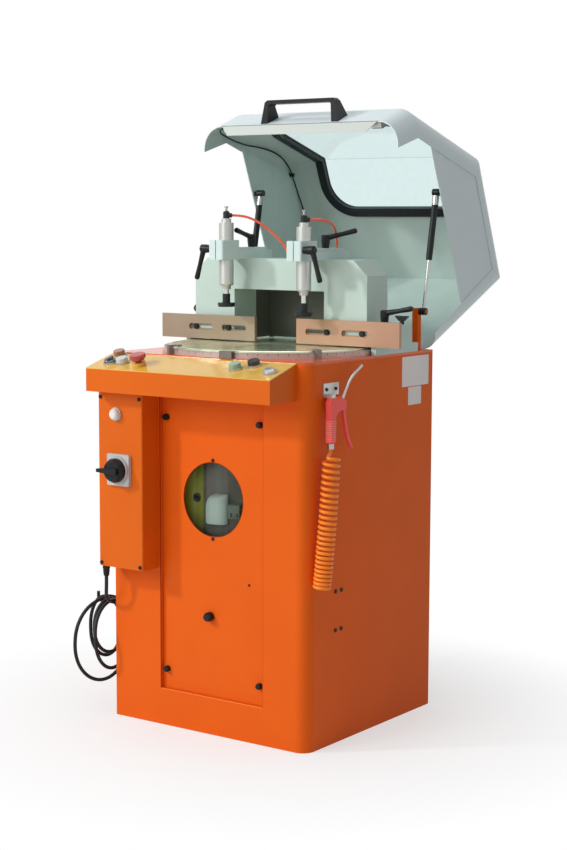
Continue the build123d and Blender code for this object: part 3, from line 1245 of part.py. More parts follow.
def hood_handle():
    """Bow handle: its front view and its side view cut from each other."""
    front = on_front_slope(HOOD_FRONT[0] + HANDLE_SETBACK)
    back = on_front_slope(front[0] + HANDLE_FOOT_DEPTH)
    low = front[1]
    top = low + HANDLE_RISE
    under = top - HANDLE_BAR
    foot = HANDLE_HALF_SPAN + HANDLE_SPLAY
    inner = HANDLE_HALF_SPAN - HANDLE_BAR
    right = [(foot - HANDLE_LEG, low), (foot, low), (HANDLE_HALF_SPAN, top - 5), (HANDLE_HALF_SPAN - 5, top)]
    arch = [(inner - 4, under), (inner, under - 4)] + right
    arch += [(-x, z) for x, z in reversed(arch)]
    bar_back = front[0] + HANDLE_BAR_DEPTH
    side = [front, back, (bar_back + 6, top - 8), (bar_back, top), (front[0] + 4, top), (front[0], top - 6)]
    return across_y(arch, front[0], back[0]) & across_x(side, -foot, foot)


def hinge_plane():
    """Plane at the hinge axis, its y axis up the hood's last slope and its z axis outwards."""
    way = (Vector(0, *HOOD_BEND_BACK) - Vector(0, *HOOD_HINGE)).normalized()
    return Plane(origin=(0, *HOOD_HINGE), x_dir=(-1, 0, 0), z_dir=Vector(-1, 0, 0).cross(way))


def moving_leaf(x):
    """Hinge leaf under the hood's last slope, with its middle knuckle."""
    plane = hinge_plane()
    start = KNUCKLE_RADIUS + 2
    half = HINGE_LENGTH / 2
    leaf = slab((-half, half), (start, start + HINGE_LEAF_LENGTH), (0, HINGE_LEAF))
    neck = slab((-KNUCKLE_MIDDLE / 2, KNUCKLE_MIDDLE / 2), (0, start + 1), (0, HINGE_LEAF))
    knuckle = drum((-KNUCKLE_MIDDLE / 2, 0, 0), (1, 0, 0), KNUCKLE_RADIUS, KNUCKLE_MIDDLE)
    piece = leaf + neck + knuckle - drum((-half, 0, 0), (1, 0, 0), HINGE_PIN_RADIUS + HINGE_PLAY, HINGE_LENGTH)
    return Pos(x, 0, 0) * (plane * piece)


def fixed_leaf(x):
    """Hinge block on the back wall with two knuckles and the pin."""
    y, z = HOOD_HINGE
    half = HINGE_LENGTH / 2
    block = slab((x - half, x + half), (HALF_DEPTH, y - 4), (z - 46, z))
    gap = KNUCKLE_MIDDLE / 2 + 0.4
    for start, end in ((x - half, x - gap), (x + gap, x + half)):
        block += drum((start, y, z), (1, 0, 0), KNUCKLE_RADIUS, end - start)
    block -= drum((x - gap, y, z), (1, 0, 0), KNUCKLE_RADIUS + 0.6, 2 * gap)
    return block + drum((x - half, y, z), (1, 0, 0), HINGE_PIN_RADIUS, HINGE_LENGTH)


def strut_stud():
    """Stud on the hood's right side panel beside the strut's upper eye."""
    start = STRUT_X + STRUT_EYE_HALF + STRUT_STUD_GAP
    return drum((start, *STRUT_HIGH), (1, 0, 0), STRUT_PIN_RADIUS + 2, HOOD_HALF_WIDTH - 2 * HOOD_WALL - start)


SWITCH_OUTER = HOOD_HALF_WIDTH - HOOD_EDGE_RADIUS - 1


def switch_plane():
    """Plane on the hood's first slope, its y axis up the slope and its z axis outwards."""
    slope = Vector(0, *HOOD_BEND_FRONT) - Vector(0, *HOOD_FRONT)
    return Plane(origin=(0, *HOOD_FRONT), x_dir=(1, 0, 0), z_dir=Vector(1, 0, 0).cross(slope))


def hood_switch():
    """Interlock body under the hood's first slope, on the right."""
    body = slab((SWITCH_OUTER - 28, SWITCH_OUTER), (8, 38), (-HOOD_WALL - 20, -HOOD_WALL))
    lower_edges = body.edges().filter_by(Axis.X).group_by(Axis.Z)[0]
    return switch_plane() * fillet(lower_edges, 4)


def cable_route():
    """Points of the switch cable from the left interlock to its end block."""
    start = switch_plane().from_local_coords(Vector(-SWITCH_OUTER, 23, -HOOD_WALL - 10))
    first = start - Vector(CABLE_RUN, 0, 0)
    bends = [(x, *from_hinge((y, z))) for x, y, z in CABLE_BENDS]
    end = Vector(*bends[-1]) - Vector(0, 0, CABLE_RUN)
    return [tuple(start), tuple(first)] + bends + [tuple(end)]


def hood_cable():
    path, radii = eased_route(cable_route())
    print("cable radii", [round(radius, 1) for radius in radii], "length", round(path.length))
    return tube_along(path, CABLE_RADIUS, sides=8)


def cable_holders(shell):
    """Clip round the cable and the block that it ends in, set on the hood's left side."""
    route = cable_route()
    side = CABLE_CLIP_SIDE
    wall = (-HOOD_HALF_WIDTH + 1, route[-1][0] + 0.5 * side)
    start = Vector(*route[CABLE_CLIP_BEND + 2])
    end = Vector(*route[CABLE_CLIP_BEND + 3])
    middle = (start + end) * 0.5
    clip = slab(wall, (middle.Y - side / 2, middle.Y + side / 2), (middle.Z - side / 2, middle.Z + side / 2))
    clip -= bar(start, end, CABLE_RADIUS + CABLE_CLIP_PLAY)
    x, y, z = route[-1]
    block = slab(wall, (y - 0.7 * side, y + 0.7 * side), (z - 2 * side, z))
    pieces = []
    for holder in (clip, block):
        for piece in shell:
            holder -= piece
        pieces.append(max(holder.solids(), key=lambda solid: solid.volume))
    return pieces


# Gas struts

STRUT_LOW = (HALF_DEPTH - POST_INSET, CABINET_HEIGHT + POST_HEIGHT - POST_PIN_DROP)
STRUT_HIGH = from_hinge(STRUT_HIGH_FROM_HINGE)
STRUT_WAY = (Vector(0, *STRUT_HIGH) - Vector(0, *STRUT_LOW)).normalized()
STRUT_LENGTH = (Vector(0, *STRUT_HIGH) - Vector(0, *STRUT_LOW)).length


def strut_post():
    """Square post on the cabinet's top with the strut's lower pin."""
    middle = STRUT_X - STRUT_EYE_HALF - POST_WALL_GAP - POST_SIDE / 2
    y, z = STRUT_LOW
    post = slab((middle - POST_SIDE / 2, middle + POST_SIDE / 2), (y - POST_SIDE / 2, y + POST_SIDE / 2),
                (CABINET_HEIGHT, CABINET_HEIGHT + POST_HEIGHT))
    pin_start = middle + POST_SIDE / 2
    pin_end = STRUT_X + STRUT_EYE_HALF + 2
    return post + drum((pin_start, y, z), (1, 0, 0), STRUT_PIN_RADIUS, pin_end - pin_start)


def strut_rod():
    """Chrome rod with its lower eye."""
    low = (STRUT_X, *STRUT_LOW)
    eye = drum((STRUT_X - STRUT_EYE_HALF, *STRUT_LOW), (1, 0, 0), STRUT_EYE_RADIUS, 2 * STRUT_EYE_HALF)
    rod = drum(low, STRUT_WAY, STRUT_ROD_RADIUS, STRUT_ROD_LENGTH)
    pin = drum((STRUT_X - STRUT_EYE_HALF, *STRUT_LOW), (1, 0, 0), STRUT_PIN_RADIUS + HINGE_PLAY, 2 * STRUT_EYE_HALF)
    return eye + rod - pin


def strut_tube():
    """Black cylinder with its upper eye."""
    high = Vector(STRUT_X, *STRUT_HIGH)
    start = high - STRUT_WAY * (STRUT_TUBE_LENGTH + STRUT_EYE_RADIUS)
    bore = STRUT_ROD_RADIUS + SLIDE_PLAY
    tube = turned([(bore, 0), (STRUT_TUBE_RADIUS - 1, 0), (STRUT_TUBE_RADIUS, 2),
                   (STRUT_TUBE_RADIUS, STRUT_TUBE_LENGTH), (0, STRUT_TUBE_LENGTH), (0, STRUT_TUBE_LENGTH - 12),
                   (bore, STRUT_TUBE_LENGTH - 12)], start, STRUT_WAY)
    neck = drum(high - STRUT_WAY * (STRUT_EYE_RADIUS + 2), STRUT_WAY, STRUT_ROD_RADIUS, STRUT_EYE_RADIUS)
    eye = drum((STRUT_X - STRUT_EYE_HALF, *STRUT_HIGH), (1, 0, 0), STRUT_EYE_RADIUS, 2 * STRUT_EYE_HALF)
    return tube + neck + eye


# Blow gun and hose

def gun_bracket():
    """Plate on the right wall with a lug that the gun hangs on."""
    wall = (HALF_WIDTH, HALF_WIDTH + GUN_BRACKET_THICKNESS)
    plate = slab(wall, GUN_BRACKET, (GUN_BRACKET_LOW, GUN_BRACKET_LOW + GUN_BRACKET_HEIGHT))
    lug = slab((HALF_WIDTH, GUN_X + 4), (GUN_Y - 2, GUN_Y + 12), (GUN_HEAD_TOP, GUN_HEAD_TOP + 8))
    return plate + lug


def gun_body():
    """Moulded pistol grip, head and hanging ear."""
    grip = GUN_HANDLE_RADIUS
    outline = [(GUN_Y - grip, GUN_HANDLE_BOTTOM), (GUN_Y + grip, GUN_HANDLE_BOTTOM),
               (GUN_Y + grip + 2, GUN_HEAD_LOW - 12), (GUN_Y + 22, GUN_HEAD_LOW), (GUN_Y + 52, GUN_HEAD_LOW + 4),
               (GUN_Y + 54, GUN_HEAD_TOP - 12), (GUN_Y + 36, GUN_HEAD_TOP), (GUN_Y - 4, GUN_HEAD_TOP),
               (GUN_Y - grip - 4, GUN_HEAD_TOP - 10), (GUN_Y - grip - 1, GUN_HEAD_LOW)]
    body = across_x(outline, GUN_X - GUN_HALF_THICKNESS, GUN_X + GUN_HALF_THICKNESS)
    body = fillet(body.edges().filter_by(Axis.X), 3.5)
    sides = body.faces().sort_by(Axis.X)
    body = fillet(sides[0].edges() + sides[-1].edges(), 2.5)
    slot = slab((GUN_X - 4, GUN_X + 4), (GUN_Y + 34, GUN_Y + 60), (GUN_HEAD_LOW - 6, GUN_HEAD_LOW + 18))
    pin = drum((GUN_X - 6, *TRIGGER_PIVOT), (1, 0, 0), TRIGGER_PIN_RADIUS, 12)
    return body - slot + pin


NOZZLE_ROUTE = ((GUN_X, GUN_Y + 45, GUN_HEAD_TOP - 6), (GUN_X, GUN_Y + 78, GUN_HEAD_TOP + 42),
                (GUN_X, GUN_Y + 126, GUN_HEAD_TOP + 66))
TRIGGER_PIVOT = (GUN_Y + 46, GUN_HEAD_LOW + 11)


def gun_nozzle():
    path, radii = eased_route(NOZZLE_ROUTE)
    print("nozzle radii", [round(radius, 1) for radius in radii])
    return tube_along(path, NOZZLE_RADIUS, bore=NOZZLE_RADIUS - 1.2)


def gun_trigger():
    """Curved lever in front of the handle, pivoted in the head's slot."""
    y, z = TRIGGER_PIVOT
    outline = [(y - 4, z + 4), (y + 5, z + 4), (y + 13, z - 40), (y + 26, z - 78), (y + 41, z - 100),
               (y + 35, z - 103), (y + 18, z - 80), (y + 6, z - 44), (y - 2, z - 8)]
    trigger = across_x(outline, GUN_X - 3.6, GUN_X + 3.6)
    return trigger - drum((GUN_X - 3.6, y, z), (1, 0, 0), TRIGGER_PIN_RADIUS + HINGE_PLAY, 7.2)


def hose_axis(share):
    """Axis of the spiral, bowed a little between its ends."""
    y = HOSE_TOP[0] + (HOSE_LOW[0] - HOSE_TOP[0]) * share + HOSE_BOW * math.sin(math.pi * share)
    z = HOSE_TOP[1] + (HOSE_LOW[1] - HOSE_TOP[1]) * share
    return Vector(HOSE_X, y, z)


def hose_point(turns):
    """Point of the spiral after a number of turns."""
    angle = 2 * math.pi * turns
    ring = Vector(-math.sin(angle), math.cos(angle), 0) * HOSE_CURL_RADIUS
    share = (turns - HOSE_FIRST_TURN) / (HOSE_CURLS - HOSE_FIRST_TURN)
    return hose_axis(share * (1 + HOSE_SLACK) - HOSE_SLACK * share ** 2) + ring


def hose_stations():
    """Quarter-turn points of the spiral with its direction there."""
    stations = []
    for quarter in range(round(4 * HOSE_FIRST_TURN), 4 * HOSE_CURLS + 1):
        turns = quarter / 4
        way = (hose_point(turns + 0.001) - hose_point(turns - 0.001)).normalized()
        stations.append((hose_point(turns), way))
    return stations


def spiral_hose():
    """Curly air hose from the gun's collar to the wall fitting, swept about its own start and then hung."""
    down = Vector(0, 0, -1)
    top = Vector(GUN_X, GUN_Y, GUN_HANDLE_BOTTOM - COLLAR_LENGTH)
    top_end = top + down * (2 * HOSE_RADIUS)
    into_wall = Vector(-1, 0, 0)
    low = Vector(HALF_WIDTH + WALL_PORT_LENGTH, *WALL_FITTING)
    low_start = low - into_wall * (2 * HOSE_RADIUS)
    stations = [(top_end, down)] + hose_stations() + [(low_start, into_wall)]
    edges = [Line(top, top_end)] + biarc_path(stations) + [Line(low_start, low)]
    path = Wire(edges)
    print("spiral hose length", round(path.length), "least gap", round(least_gap(path, HOSE_RADIUS, 30, 3000), 2))
    to_origin = Pos(-top.X, -top.Y, -top.Z)
    to_gun = Pos(top.X, top.Y, top.Z)
    return to_gun * tube_along(to_origin * path, HOSE_RADIUS, sides=6)


def air_fittings():
    """Collar under the gun, the hose's wall fitting and the air inlet."""
    collar = drum((GUN_X, GUN_Y, GUN_HANDLE_BOTTOM - COLLAR_LENGTH), (0, 0, 1), COLLAR_RADIUS, COLLAR_LENGTH)
    wall = drum((HALF_WIDTH, *WALL_FITTING), (1, 0, 0), COLLAR_RADIUS, WALL_PORT_LENGTH)
    inlet = drum((INLET_X, HALF_DEPTH, INLET_HEIGHT), (0, 1, 0), INLET_RADIUS, INLET_LENGTH)
    inlet -= drum((INLET_X, HALF_DEPTH + INLET_LENGTH - INLET_BORE_LENGTH, INLET_HEIGHT), (0, 1, 0),
                  INLET_BORE_RADIUS, INLET_BORE_LENGTH)
    return [collar, wall, inlet]


# Mains lead

def loop_top(count):
    """Point where the lead lies over the hook, after a number of loops."""
    x = -HALF_WIDTH - LOOP_FIRST_REACH - count * LOOP_PITCH
    return Vector(x, HOOK_Y, HOOK_HEIGHT + HOOK_RADIUS + CORD_RADIUS + CORD_GAP)


def swing_way(degrees):
    """Level direction of a loop's front, turned out from the wall."""
    return Vector(-math.sin(math.radians(degrees)), -math.cos(math.radians(degrees)), 0)


def hank_stations():
    """Quarter points of each loop with the lead's direction there."""
    down = Vector(0, 0, -1)
    stations = []
    for count, height in enumerate(LOOP_HEIGHTS):
        top = loop_top(count)
        way = swing_way(LOOP_SWINGS[count])
        middle = top + way * LOOP_SHIFTS[count]
        half = LOOP_HALF_WIDTHS[count]
        stations.append((top, way * -1))
        stations.append((middle - way * half + down * (0.5 * height), down))
        stations.append((middle + down * height, way))
        stations.append((middle + way * half + down * (0.55 * height), down * -1))
    stations.append((loop_top(len(LOOP_HEIGHTS)), Vector(*LOOP_LEAVING)))
    return stations


def cord_hank():
    """Loose loops of the mains lead over its hook."""
    path = Wire(biarc_path(hank_stations()))
    print("hank length", round(path.length), "least gap", round(least_gap(path, CORD_RADIUS, 45, 1500), 2))
    return tube_along(path, CORD_RADIUS, sides=8)


def lead_route():
    """Points of the lead from the gland to the first loop."""
    first = loop_top(0)
    start = Vector(*GLAND_PLACE, BOX_BOTTOM - GLAND_LENGTH)
    before = first + swing_way(LOOP_SWINGS[0]) * LEAD_RUN
    return [tuple(start), *LEAD_BENDS, tuple(before), tuple(first)]


def tail_route():
    """Points of the lead from the last loop to the plug."""
    last = loop_top(len(LOOP_HEIGHTS))
    after = last + Vector(*LOOP_LEAVING) * TAIL_RUN
    return [tuple(last), tuple(after), *TAIL_BENDS, TAIL_END]


def mains_cord():
    """Lead from the gland to the hank, and its tail down to the plug."""
    lead, lead_radii = eased_route(lead_route())
    tail, tail_radii = eased_route(tail_route())
    print("lead radii", [round(radius, 1) for radius in lead_radii + tail_radii])
    print("lead length", round(lead.length), "tail length", round(tail.length))
    return [tube_along(lead, CORD_RADIUS, sides=8), tube_along(tail, CORD_RADIUS, sides=8)]


def mains_plug():
    """Round plug at the end of the tail."""
    end = TAIL_END
    body = turned([(0, 0), (CORD_RADIUS + 3, 0), (CORD_RADIUS + 4, 12), (PLUG_RADIUS, 20), (PLUG_RADIUS, PLUG_LENGTH),
                   (0, PLUG_LENGTH)], end, (0, 0, -1))
    for side in (-9.5, 9.5):
        body += drum((end[0], end[1] + side, end[2] - PLUG_LENGTH), (0, 0, -1), 2.4, 19)
    return body


def cable_gland():
    """Screwed gland under the electrical box."""
    foot = (*GLAND_PLACE, BOX_BOTTOM)
    gland = turned([(CORD_RADIUS, 0), (GLAND_RADIUS, 0), (GLAND_RADIUS, 8), (GLAND_RADIUS - 1, 9),
                    (GLAND_RADIUS - 1, 16), (CORD_RADIUS + 2, GLAND_LENGTH), (CORD_RADIUS, GLAND_LENGTH)],
                   foot, (0, 0, -1))
    return gland


def port_end(x, drop):
    """Outer end of an elbow's port."""
    foot = elbow_place(x, drop)
    return Vector(*foot) + Vector(*ELBOW_WAY) * ELBOW_PORT + Vector(0, 0, ELBOW_HEIGHT / 2)


def air_tube(route):
    """Red air tube along its route."""
    path, radii = eased_route(route)
    print("air tube radii", [round(radius, 1) for radius in radii], "length", round(path.length))
    return tube_along(path, AIR_TUBE_RADIUS, sides=8)


def left_tube_route():
    """Points from the left elbow straight down to the gantry's top."""
    start = port_end(-CLAMP_X, 0.0)
    fall = start.Z - GANTRY_TOP
    places = [start + Vector(*ELBOW_WAY) * along - Vector(0, 0, share * fall) for along, share in LEFT_TUBE_BENDS]
    return [tuple(place) for place in [start] + places]


def right_tube_route():
    """Points from the right elbow over the lever's hub to the back of the arm."""
    start = port_end(CLAMP_X, RIGHT_CYLINDER_DROP)
    fall = start.Z - ARM_TOP
    first = start + Vector(*ELBOW_WAY) * AIR_TUBE_RUN
    places = [Vector(CLAMP_X + across, y, start.Z - share * fall) for across, y, share in RIGHT_TUBE_BENDS]
    return [tuple(place) for place in [start, first] + places]


LEFT_TUBE_BENDS = ((24.0, 0.0), (55.0, 0.095), (87.0, 0.295), (115.0, 0.543), (138.0, 0.8), (138.0, 1.0))
RIGHT_TUBE_BENDS = ((38.0, 2.0, 0.06), (34.0, 30.0, 0.2), (21.0, 56.0, 0.36), (9.0, 78.0, 0.55), (5.0, 88.0, 0.74),
                    (5.0, 88.0, 1.0))


# Fasteners

def round_screw(place, axis, radius, height):
    """Round black screw head or knob."""
    return turned([(0, 0), (radius, 0), (radius, 0.7 * height), (0.75 * radius, height), (0, height)], place, axis)


def fasteners():
    out = (0, -1, 0)
    right = (1, 0, 0)
    pieces = []
    for x in (OPENING_X[0] + PANEL_KNOB_INSET, OPENING_X[1] - PANEL_KNOB_INSET):
        for z in (OPENING_BOTTOM + 48, OPENING_TOP - 53):
            pieces.append(round_screw((x, PANEL_FACE, z), out, PANEL_KNOB_RADIUS, PANEL_KNOB_HEIGHT))
    pull = (PANEL_MIDDLE - 8, PANEL_FACE, PULL_KNOB_HEIGHT_ABOVE_FLOOR)
    pieces.append(round_screw(pull, out, PULL_KNOB_RADIUS, 1.5 * PANEL_KNOB_HEIGHT))
    for side in (-1, 1):
        spot = (PANEL_MIDDLE, PANEL_FACE, WINDOW_HEIGHT + side * (WINDOW_RADIUS + WINDOW_LAP / 2))
        pieces.append(round_screw(spot, out, 4, 3))
    for x in grown(BOX_X, -BOX_SCREW_INSET):
        for z in (BOX_BOTTOM + BOX_SCREW_INSET, CONSOLE_BOTTOM - 2 * BOX_SCREW_INSET):
            pieces.append(round_screw((x, BOX_FACE, z), out, 4.5, 3.5))
    pieces.append(round_screw((PANEL_SCREW[0], PANEL_FACE, PANEL_SCREW[1]), out, 3, 2))
    for y in SIDE_SCREW_YS:
        for z in SIDE_SCREW_HEIGHTS:
            pieces.append(round_screw((HALF_WIDTH, y, z), right, 5, 3))
    for y in grown(GUN_BRACKET, -12):
        spot = (HALF_WIDTH + GUN_BRACKET_THICKNESS, y, GUN_BRACKET_LOW + GUN_BRACKET_HEIGHT / 2)
        pieces.append(round_screw(spot, right, 4, 3))
    for x, y in FOOT_BOLTS:
        for side in (-1, 1):
            pieces.append(round_screw((side * x, y, BASE_LOW), (0, 0, 1), 8, 9))
    for x in fence_bolt_places():
        pieces += [fence_bolt(x), fence_bolt(-x)]
    side_knob = (-GANTRY_HALF_WIDTH, GANTRY_FRONT + 16, BASE_TOP + SIDE_KNOB_RISE)
    pieces.append(round_screw(side_knob, (-1, 0, 0), SIDE_KNOB_RADIUS, 14))
    for x in grown(REAR_PANEL_X, -REAR_PANEL_LAP / 2):
        for z in grown(REAR_PANEL_Z, -REAR_PANEL_LAP / 2):
            pieces.append(round_screw((x, HALF_DEPTH + SHEET, z), (0, 1, 0), 4.5, 3.5))
    return pieces


def wing_knob():
    """Wing screw on top of the right-hand beam."""
    base = (WING_KNOB_X, BASE_FRONT + BASE_END_DEPTH / 2, BASE_TOP)
    stem = turned([(0, 0), (6, 0), (5, 8), (5, 12), (0, 12)], base)
    wings = [(-7, 8), (7, 8), (17, 17), (17, 20), (-17, 20), (-17, 17)]
    return stem + Pos(*base) * across_y(wings, -3.5, 3.5)


def main():
    os.makedirs("parts", exist_ok=True)
    save("cabinet_shell", *cabinet_shell())
    save("top_plate", top_plate())
    save("access_panels", front_panel(), rear_panel())
    save("window_pane", window_pane())
    save("console_housing", console_housing())
    save("console_plate", console_plate())
    save("electrical_box", electrical_box())
    save("control_bezels", *control_bezels(), switch_plate(), pilot_lamp())
    save("main_switch_knob", switch_knob())
    save("white_button", push_button(WHITE_BUTTON))
    save("tan_button", push_button(TAN_BUTTON))
    save("green_button", push_button(GREEN_BUTTON))
    save("black_button", push_button(BLACK_BUTTON))
    save("emergency_stop", emergency_stop())
    save("selector_knob", selector())
    save("key_switch", key_switch())
    clips = [table_clip(angle) for angle in CLIP_ANGLES]
    save("fasteners", *fasteners(), *clips, latch_plate(), wing_knob(), *cord_hook())

    save("scale_ring", scale_ring())
    save("turntable", *turntable())
    save("saw_frame", saw_frame(), lift_rod())
    save("saw_carriage", saw_carriage())
    save("drive_motor", drive_motor())
    save("lift_cylinder", lift_cylinder())
    save("saw_blade", saw_blade(), arbor())

    base = fence_base()
    for x in fence_bolt_places():
        base -= bolt_hole(x)
    beam_lever_place = (BEAM_LEVER_X, BASE_FRONT + BASE_END_DEPTH / 2, BASE_TOP)
    lever_hole = drum((beam_lever_place[0], beam_lever_place[1], BASE_TOP - LEVER_STUD_LENGTH - 1), (0, 0, 1),
                      LEVER_STUD_RADIUS + STUD_PLAY, LEVER_STUD_LENGTH + 1)
    save("fence_bases", base - lever_hole, mirrored(base))
    save("fence_right", fence_plate())
    save("fence_left", mirrored(fence_plate()))
    save("gantry", gantry())
    save("chip_deflector", chip_deflector())
    save("beam_lever", lever(beam_lever_place, (0, 0, 1), (1, 0, 0), 0.18))

    save("clamp_brackets", clamp_bracket(RIGHT_LEVER_Y), mirrored(clamp_bracket(LEFT_LEVER_Y)))
    for side, x, drop, pad_drop, lever_y in (
            ("left", -CLAMP_X, 0.0, 0.0, LEFT_LEVER_Y),
            ("right", CLAMP_X, RIGHT_CYLINDER_DROP, RIGHT_PAD_DROP, RIGHT_LEVER_Y)):
        save(f"clamp_cylinder_{side}", clamp_cylinder(x, drop), clamp_elbow(x, drop))
        save(f"clamp_rod_{side}", clamp_rod(x, drop + pad_drop))
        sign = math.copysign(1, x)
        block_face = (x + sign * CLAMP_BLOCK_HALF, SCREW_Y, SCREW_HEIGHT)
        save(f"side_lever_{side}", lever(block_face, (sign, 0, 0), (0, 0, -1), 0.3))
        way = (0.1, -1, 0) if side == "left" else (0.86, 0.5, 0)
        save(f"top_lever_{side}", lever((x, lever_y, ARM_TOP), (0, 0, 1), way, 0.25))
    save("air_tube_left", air_tube(left_tube_route()))
    save("air_tube_right", air_tube(right_tube_route()))

    shell = hood_shell()
    glazing = hood_glazing()
    panels = [side_panel(), mirrored(side_panel())]
    save("hood_shell", *shell, *panels)
    save("hood_glazing", *glazing)
    save("window_trim", window_trim(shell, glazing))
    save("hood_handle", hood_handle())
    stud = strut_stud()
    interlock = hood_switch()
    save("hood_fittings", moving_leaf(HINGE_X), moving_leaf(-HINGE_X), stud, mirrored(stud), interlock,
         mirrored(interlock), *cable_holders(shell + panels))
    save("hood_cable", hood_cable())
    save("hood_supports", fixed_leaf(HINGE_X), fixed_leaf(-HINGE_X), strut_post(), mirrored(strut_post()))
    save("strut_rod_right", strut_rod())
    save("strut_rod_left", mirrored(strut_rod()))
    save("strut_tube_right", strut_tube())
    save("strut_tube_left", mirrored(strut_tube()))

    save("gun_body", gun_body())
    save("gun_trigger", gun_trigger())
    save("spiral_hose", spiral_hose())
    save("air_fittings", *air_fittings(), gun_bracket(), gun_nozzle())
    save("mains_cord", *mains_cord())
    save("cord_hank", cord_hank())
    save("mains_plug", mains_plug())
    save("cable_gland", cable_gland())


main()
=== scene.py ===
import json
import math
from typing import NamedTuple

import bpy
import bmesh
from mathutils import Matrix, Vector


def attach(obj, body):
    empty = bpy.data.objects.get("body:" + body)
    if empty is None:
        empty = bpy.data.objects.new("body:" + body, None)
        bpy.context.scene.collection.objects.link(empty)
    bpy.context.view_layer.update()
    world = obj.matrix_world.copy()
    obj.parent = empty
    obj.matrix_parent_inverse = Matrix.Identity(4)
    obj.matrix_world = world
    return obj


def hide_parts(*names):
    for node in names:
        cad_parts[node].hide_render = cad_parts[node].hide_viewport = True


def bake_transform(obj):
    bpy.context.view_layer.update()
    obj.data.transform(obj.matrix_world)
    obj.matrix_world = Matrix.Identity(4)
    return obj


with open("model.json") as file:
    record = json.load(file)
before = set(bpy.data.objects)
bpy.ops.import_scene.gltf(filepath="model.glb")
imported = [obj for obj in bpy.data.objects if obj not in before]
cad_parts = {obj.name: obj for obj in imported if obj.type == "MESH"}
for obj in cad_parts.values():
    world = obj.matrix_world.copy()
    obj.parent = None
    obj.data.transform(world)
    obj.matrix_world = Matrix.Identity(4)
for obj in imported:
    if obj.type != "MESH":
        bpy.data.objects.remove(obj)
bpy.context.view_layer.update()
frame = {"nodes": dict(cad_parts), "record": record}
nodes = frame["nodes"]
MM = 0.001


def add_object(name, data):
    """New object in the scene."""
    added = bpy.data.objects.new(name, data)
    bpy.context.scene.collection.objects.link(added)
    return added


# Camera at the photograph's viewpoint: its place in metres, its angles in degrees, its lens and sensor in millimetres

CAMERA_PLACE = (2.5456, -3.5067, 1.2244)
CAMERA_YAW = 35.7
CAMERA_PITCH = -6.69
CAMERA_ROLL = 0.18
CAMERA_LENS = 75.11
SENSOR_WIDTH = 36.0

camera_data = bpy.data.cameras.new("camera")
camera_data.lens = CAMERA_LENS
camera_data.sensor_width = SENSOR_WIDTH
camera = add_object("camera", camera_data)
turn = Matrix.Rotation(math.radians(CAMERA_YAW), 4, "Z")
tilt = Matrix.Rotation(math.radians(90 + CAMERA_PITCH), 4, "X")
roll = Matrix.Rotation(math.radians(CAMERA_ROLL), 4, "Z")
camera.matrix_world = Matrix.Translation(CAMERA_PLACE) @ turn @ tilt @ roll
bpy.context.scene.camera = camera
bpy.context.scene.view_settings.view_transform = "Standard"


# Shader pieces

def new_shader(name):
    """New material with its tree, its shader and the object's own coordinates."""
    material = bpy.data.materials.new(name)
    material.use_nodes = True
    tree = material.node_tree
    place = tree.nodes.new("ShaderNodeTexCoord").outputs["Object"]
    return material, tree, tree.nodes["Principled BSDF"], place


def feed(tree, socket, value):
    """Sets a socket to a number, or links it to another socket."""
    if isinstance(value, (int, float)):
        socket.default_value = value
    else:
        tree.links.new(value, socket)


def noise(tree, vector, scale, detail=3.0, stretch=(1, 1, 1)):
    """Noise value at a scale, optionally drawn out along an axis."""
    mapping = tree.nodes.new("ShaderNodeMapping")
    mapping.inputs["Scale"].default_value = stretch
    tree.links.new(vector, mapping.inputs["Vector"])
    texture = tree.nodes.new("ShaderNodeTexNoise")
    texture.inputs["Scale"].default_value = scale
    texture.inputs["Detail"].default_value = detail
    tree.links.new(mapping.outputs["Vector"], texture.inputs["Vector"])
    return texture.outputs["Fac"]


def spread(tree, value, low, high, start=0.3, end=0.7):
    """Value carried to a range from another, by default from the one in which most noise lies."""
    node = tree.nodes.new("ShaderNodeMapRange")
    node.inputs["From Min"].default_value = start
    node.inputs["From Max"].default_value = end
    node.inputs["To Min"].default_value = low
    node.inputs["To Max"].default_value = high
    tree.links.new(value, node.inputs["Value"])
    return node.outputs["Result"]


def calc(tree, operation, *values):
    """Arithmetic on numbers or sockets."""
    node = tree.nodes.new("ShaderNodeMath")
    node.operation = operation
    for socket, value in zip(node.inputs, values):
        feed(tree, socket, value)
    return node.outputs[0]


def reach(tree, first, second):
    """Distance of a point from zero, from two of its coordinates."""
    squares = [calc(tree, "MULTIPLY", value, value) for value in (first, second)]
    return calc(tree, "SQRT", calc(tree, "ADD", *squares))


def colour_mix(tree, factor, low, high):
    """Mix of two colours, each a tuple or a socket."""
    node = tree.nodes.new("ShaderNodeMix")
    node.data_type = "RGBA"
    tree.links.new(factor, node.inputs["Factor"])
    for key, value in (("A", low), ("B", high)):
        socket = next(item for item in node.inputs if item.name == key and item.type == "RGBA")
        if isinstance(value, tuple):
            socket.default_value = (*value, 1.0)
        else:
            tree.links.new(value, socket)
    return next(item for item in node.outputs if item.type == "RGBA")


def number_mix(tree, factor, low, high):
    """Mix of two values, each a number or a socket."""
    node = tree.nodes.new("ShaderNodeMix")
    tree.links.new(factor, node.inputs["Factor"])
    for key, value in (("A", low), ("B", high)):
        feed(tree, next(item for item in node.inputs if item.name == key and item.type == "VALUE"), value)
    return node.outputs[0]


def bump(tree, bsdf, height, strength, depth):
    """Surface relief from a height value."""
    node = tree.nodes.new("ShaderNodeBump")
    node.inputs["Strength"].default_value = strength
    node.inputs["Distance"].default_value = depth
    tree.links.new(height, node.inputs["Height"])
    tree.links.new(node.outputs["Normal"], bsdf.inputs["Normal"])


def shade(colour, factor):
    """Colour made lighter or darker."""
    return tuple(min(1.0, channel * factor) for channel in colour)


